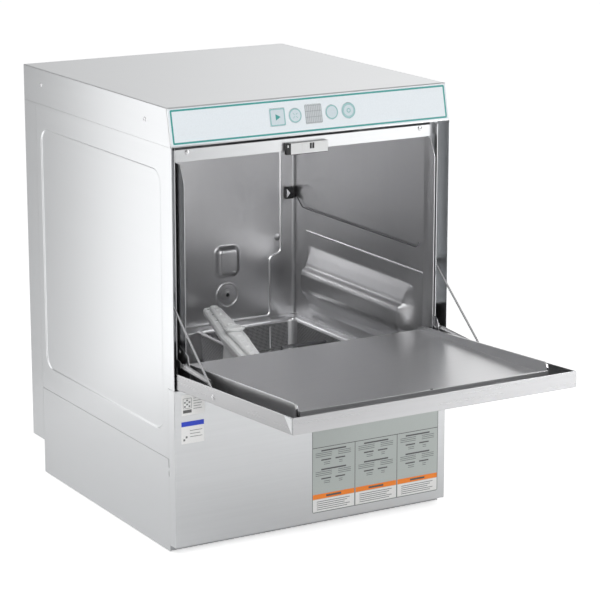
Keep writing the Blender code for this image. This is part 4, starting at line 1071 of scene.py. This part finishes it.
def make_hinges():
    for side, sign in SIDES:
        outline = [(-0.003, 0.0016), (0.024, 0.0016), (0.026, 0.03), (0.018, 0.063), (-0.013, 0.078),
                   (-0.028, 0.074), (-0.027, 0.05), (-0.008, 0.034), (-0.008, 0.006)]
        outline = [(-reach, rise) for reach, rise in outline]
        low, high = sorted((sign * 0.2746, sign * 0.2768))
        plate = soften(prism(outline, "X", low, high), 0.0006, 2)
        bore = turned([(0, low - 0.002), (0.0034, low - 0.002), (0.0034, high + 0.002), (0, high + 0.002)],
                      "X", (0, 0, SKIN_DROP), 20)
        add(f"hinge_plate_{side}", cut(plate, bore), "post", "door", replaces=[f"hinge_arm_{side}"])
        heads = []
        for reach, rise in ((0.012, 0.045), (-0.014, 0.066)):
            for seat, crown in ((0.2766, 0.2782), (0.2748, 0.2735)):
                middle = (seat + 2 * crown) / 3
                head = [(0, seat), (0.0036, seat), (0.0034, middle), (0.0018, crown), (0, crown)]
                heads.append(turned(raised(head, 0, sign), "X", (0, -reach, rise), 16))
        add(f"hinge_rivets_{side}", merged(*heads), "wire", "door")


def make_rods():
    """Each stay rod lies at 39.5 degrees, from its bolt on the door to a roller behind the post."""
    bolt, length = on_door(0, 0.155, 0.013), 0.232
    here = Matrix.Translation(DOOR @ Vector(bolt)) @ Matrix.Rotation(math.radians(39.5), 4, "X")
    corners = ((-1, -1), (1, -1), (1, 1), (-1, 1))
    for side, sign in SIDES:
        x = sign * 0.293
        wire = tube([(x, y, 0) for y in (0.0045, 0.02, 0.12, length - 0.006, length - 0.001)], 0.0021, 14)
        eye = ring_prism(circle(0.006, 28), circle(0.0026, 28), "X", x - 0.0017, x + 0.0017)
        neck = loft([[(x + a * wide, y, b * tall) for a, b in corners]
                     for wide, y, tall in ((0.0017, 0.004, 0.003), (0.0021, 0.014, 0.0018))])
        rim = [(0, 0.0025), (0.0046, 0.0025), (0.005, 0.002), (0.0044, 0.0008)]
        rim = raised(rim, x, -1) + raised(rim[::-1], x)
        parts = merged(wire, soften(eye, 0.0004, 2), soften(neck, 0.0006, 2),
                       turned(rim, "X", (0, length, 0), 24))
        add(f"stay_rod_{side}_bar", parts, "rod", f"stay_rod_{side}", here, replaces=[f"stay_rod_{side}"])
        head = raised([(0, 0.2895), (0.0021, 0.2895), (0.0021, 0.298), (0.0056, 0.298), (0.0056, 0.2986),
                       (0.0046, 0.2988), (0.0044, 0.2996), (0.0034, 0.3003), (0.0016, 0.3006), (0, 0.3006)],
                      0, sign)
        add(f"rod_bolt_{side}_head", turned(head, "X", bolt, 28), "wire", "door",
            replaces=[f"rod_bolt_{side}"])


def make_springs():
    """Close-wound counter springs, each with a hook at its rear end."""
    anchor = Vector(JOINTS["counter_spring_left_pivot"]["pos_m"])
    start, end, wire, mean = 0.012, 0.114, 0.00085, 0.0048
    turns, steps = 52, 12
    here = Matrix.Translation((0, anchor.y, anchor.z)) @ Matrix.Rotation(TILT, 4, "X")
    for side, sign in SIDES:
        x = sign * abs(anchor.x)
        route = []
        for step in range(turns * steps + 1):
            turn = 2 * math.pi * step / steps
            reach = start + wire + (end - start - 2 * wire) * (step / (turns * steps))
            route.append((x + mean * math.cos(turn), -reach, mean * math.sin(turn)))
        hook = [(x + mean * 0.6, -start - 0.001, 0.001), (x + 0.001, -0.009, -0.0012), (x, -0.006, -0.0012)]
        for step in range(15):
            turn = math.radians(-160 + 320 * step / 14)
            hook.append((x, 0.0034 * math.cos(turn), 0.0034 * math.sin(turn)))
        add(f"spring_coil_{side}", merged(tube(route, wire, 6), tube(hook, wire, 8)), "rod",
            f"counter_spring_{side}", here, replaces=[f"counter_spring_{side}"], smooth=60, weighted=False)


# --- Labels
def sticker(name, low, high, look, radius=0.0008):
    face = -0.00018
    add(name, prism(rounded_rectangle(low, high, radius, 3), "Y", face, face + 0.0003), look)


def bars(name, rows, look, face=INK):
    """Plain ink bars from (left, right, bottom, top) rows."""
    add(name, merged(*[slab((left, bottom), (right, top), face, face + 0.00022)
                       for left, right, bottom, top in rows]), look)


def make_labels():
    """The data plate and two stickers, with unlettered bars and blocks."""
    low, high = (-0.005, 0.033), (0.285, 0.262)
    sticker("data_plate", low, high, "plate", radius=0.004)
    edges = [rounded_rectangle(*shrink(low, high, inset), radius, 3)
             for inset, radius in ((0.0002, 0.0038), (0.0012, 0.003))]
    add("data_plate_border", ring_prism(*edges, "Y", INK, -0.0001), "pale_ink")
    columns = ((-0.005, 0.092), (0.092, 0.189), (0.189, 0.285))
    lines = [(low[0] + 0.001, high[0] - 0.001, 0.164, 0.1652)]
    for x in (0.092, 0.189):
        lines.append((x - 0.0006, x + 0.0006, low[1] + 0.001, 0.164))
    bars("data_plate_dividers", lines, "ink")
    white, orange, dark, faint = [], [], [], []
    for left, right in columns:
        left, right = left + 0.0016, right - 0.0016
        white.append((left, right, 0.035, 0.06))
        orange.append((left, right, 0.0606, 0.0705))
        middle = (left + right) / 2
        dark.append((middle - 0.017, middle + 0.017, 0.0636, 0.0674))
        for row in range(5):
            z = 0.0545 - 0.004 * row
            faint.append((left + 0.009, right - 0.01 - 0.006 * (row % 3), z, z + 0.0012))
        for z in (0.159, 0.121):
            dark.append((middle - 0.028, middle + 0.028, z - 0.0028, z))
            for row in range(3):
                y = z - 0.0065 - 0.0036 * row
                faint.append((left + 0.006, middle - 0.004, y, y + 0.0011))
                faint.append((middle + 0.01, right - 0.008, y, y + 0.0011))
            dark.append((middle - 0.028, middle - 0.006, z - 0.0215, z - 0.019))
            dark.append((middle + 0.004, middle + 0.026, z - 0.0215, z - 0.019))
            for row in range(2):
                y = z - 0.0262 - 0.0036 * row
                faint.append((middle - 0.022, middle - 0.008, y, y + 0.0011))
                faint.append((middle + 0.012, middle + 0.02, y, y + 0.0011))
    bars("data_plate_boxes", white, "paper")
    bars("data_plate_bands", orange, "orange")
    bars("data_plate_heads", dark, "ink", SECOND_INK)
    bars("data_plate_rows", faint, "pale_ink", SECOND_INK)
    sticker("service_sticker", (-0.287, 0.273), (-0.238, 0.313), "paper")
    sticker("stock_sticker", (-0.288, 0.218), (-0.24, 0.261), "paper")
    bars("stock_header", [(-0.2878, -0.2402, 0.2515, 0.2608)], "blue")
    frame_outer = rounded_rectangle((-0.284, 0.286), (-0.266, 0.306), 0.001, 2)
    frame_inner = rounded_rectangle((-0.2833, 0.2867), (-0.2667, 0.3053), 0.0005, 2)
    add("sticker_frame", ring_prism(frame_outer, frame_inner, "Y", INK, -0.0001), "ink")
    blocks = []
    for row in range(4):
        for column in range(3):
            if (row + column) % 2 == 0:
                x, z = -0.2818 + 0.0048 * column, 0.2885 + 0.004 * row
                blocks.append((x, x + 0.0036, z, z + 0.003))
    for column in range(2):
        x = -0.284 + 0.005 * column
        blocks.append((x, x + 0.0038, 0.2235 + 0.005 * column, 0.2275 + 0.005 * column))
    bars("sticker_blocks", blocks, "pale_ink")
    bars("sticker_bar", [(-0.284, -0.266, 0.2775, 0.2835)], "ink")
    lines = []
    for row in range(5):
        z = 0.284 + 0.005 * row
        lines.append((-0.262, -0.244 - 0.003 * (row % 2), z, z + 0.001))
    for row in range(3):
        z = 0.23 + 0.006 * row
        lines.append((-0.27, -0.244 - 0.004 * (row % 2), z, z + 0.001))
    bars("sticker_lines", lines, "pale_ink")


# --- Stage
def make_stage():
    """Camera, room, lights and floor."""
    scene = bpy.context.scene
    scene.view_settings.view_transform = "Standard"
    lens = bpy.data.cameras.new("camera")
    lens.lens = 145.7
    lens.sensor_width = 36.0
    camera = bpy.data.objects.new("camera", lens)
    scene.collection.objects.link(camera)
    camera.location = (-2.2778, FRONT - 3.854, 1.5696)
    camera.rotation_euler = (math.radians(76.079), 0, math.radians(-30.229))
    scene.camera = camera

    world = bpy.data.worlds.new("studio")
    scene.world = world
    world.use_nodes = True
    tree = world.node_tree
    room = tree.nodes["Background"]
    room.inputs["Color"].default_value = (1.0, 1.0, 1.0, 1.0)
    sky = Nodes(tree)
    where = sky.node("ShaderNodeTexCoord").outputs["Generated"]
    height = sky.node("ShaderNodeSeparateXYZ", Vector=where).outputs["Z"]
    lobe = tree.nodes.new("ShaderNodeVectorMath")
    lobe.operation = "DOT_PRODUCT"
    lobe.inputs[1].default_value = Vector((0.62, 0.76, 0.22)).normalized()
    tree.links.new(where, lobe.inputs[0])
    level = sky.math("ADD", sky.remap(height, 0.34, 0.46, -0.1, 0.8),
                     sky.remap(lobe.outputs["Value"], 0.0, 0.85, 0.93, 0.995))
    # The camera sees a white room, and the steel reflects a dimmer one.
    seen = sky.lerp(sky.node("ShaderNodeLightPath").outputs["Is Camera Ray"], level, 1.0)
    tree.links.new(seen, room.inputs["Strength"])

    def soft_light(name, place_at, aim, size, power):
        lamp = bpy.data.lights.new(name, "AREA")
        lamp.shape = "RECTANGLE"
        lamp.size, lamp.size_y = size
        lamp.energy = power
        item = bpy.data.objects.new(name, lamp)
        scene.collection.objects.link(item)
        item.location = place_at
        item.visible_camera = False
        item.rotation_euler = (Vector(aim) - Vector(place_at)).to_track_quat("-Z", "Y").to_euler()

    soft_light("side_softbox", (-0.98, 0.8, 0.55), (-0.3, 0.1, 0.5), (0.7, 1.2), 2.9)
    soft_light("front_softbox", (1.5, -2.0, 0.8), (0.3, -0.2, 0.4), (1.0, 1.4), 6)
    soft_light("pool_light", (1.35, -1.35, 1.0), (1.35, -1.35, 0.0), (0.5, 0.5), 9)
    soft_light("low_left_softbox", (-1.35, -1.9, 0.4), (0.1, 0.3, 0.6), (0.8, 0.8), 2.5)
    soft_light("chamber_fill", (-0.05, 0.12, 0.735), (0.05, 0.2, 0.3), (0.3, 0.3), 0.45)
    soft_light("cavity_softbox", (-1.2, -2.0, 1.6), (0.2, 0.3, 0.5), (0.8, 0.8), 14)
    soft_light("top_softbox", (-0.4, -1.0, 3.0), (0, 0, 0.5), (2.0, 2.0), 16)

    reach = 14.0
    corners = [(x, y, 0) for x, y in rectangle((-reach, -reach), (reach, reach))]
    mesh = bpy.data.meshes.new("floor")
    mesh.from_pydata(corners, [], [(0, 1, 2, 3)])
    floor = bpy.data.objects.new("floor", mesh)
    scene.collection.objects.link(floor)
    pale = Shader("pale_floor", roughness=0.75)
    pale.shader.inputs["Emission Color"].default_value = (1.0, 1.0, 1.0, 1.0)
    seen = pale.node("ShaderNodeLightPath").outputs["Is Camera Ray"]
    lift = pale.math("ADD", pale.math("MULTIPLY", seen, 0.5), 0.1)
    pale.tree.links.new(lift, pale.shader.inputs["Emission Strength"])
    pale.colour(pale.blend(pale.remap(pale.noise(1.2, 2), 0, 1), (0.9,) * 3, (0.93,) * 3))
    mesh.materials.append(pale.material)


for make in (make_stage, make_hood, make_side_panels, make_front_panel, make_rear_cover, make_controls,
             make_header, make_chamber_walls, make_back_wall, make_guide_rod, make_tank, make_arms,
             make_door_skin, make_door_liner, make_hinges, make_rods, make_springs, make_labels):
    make()
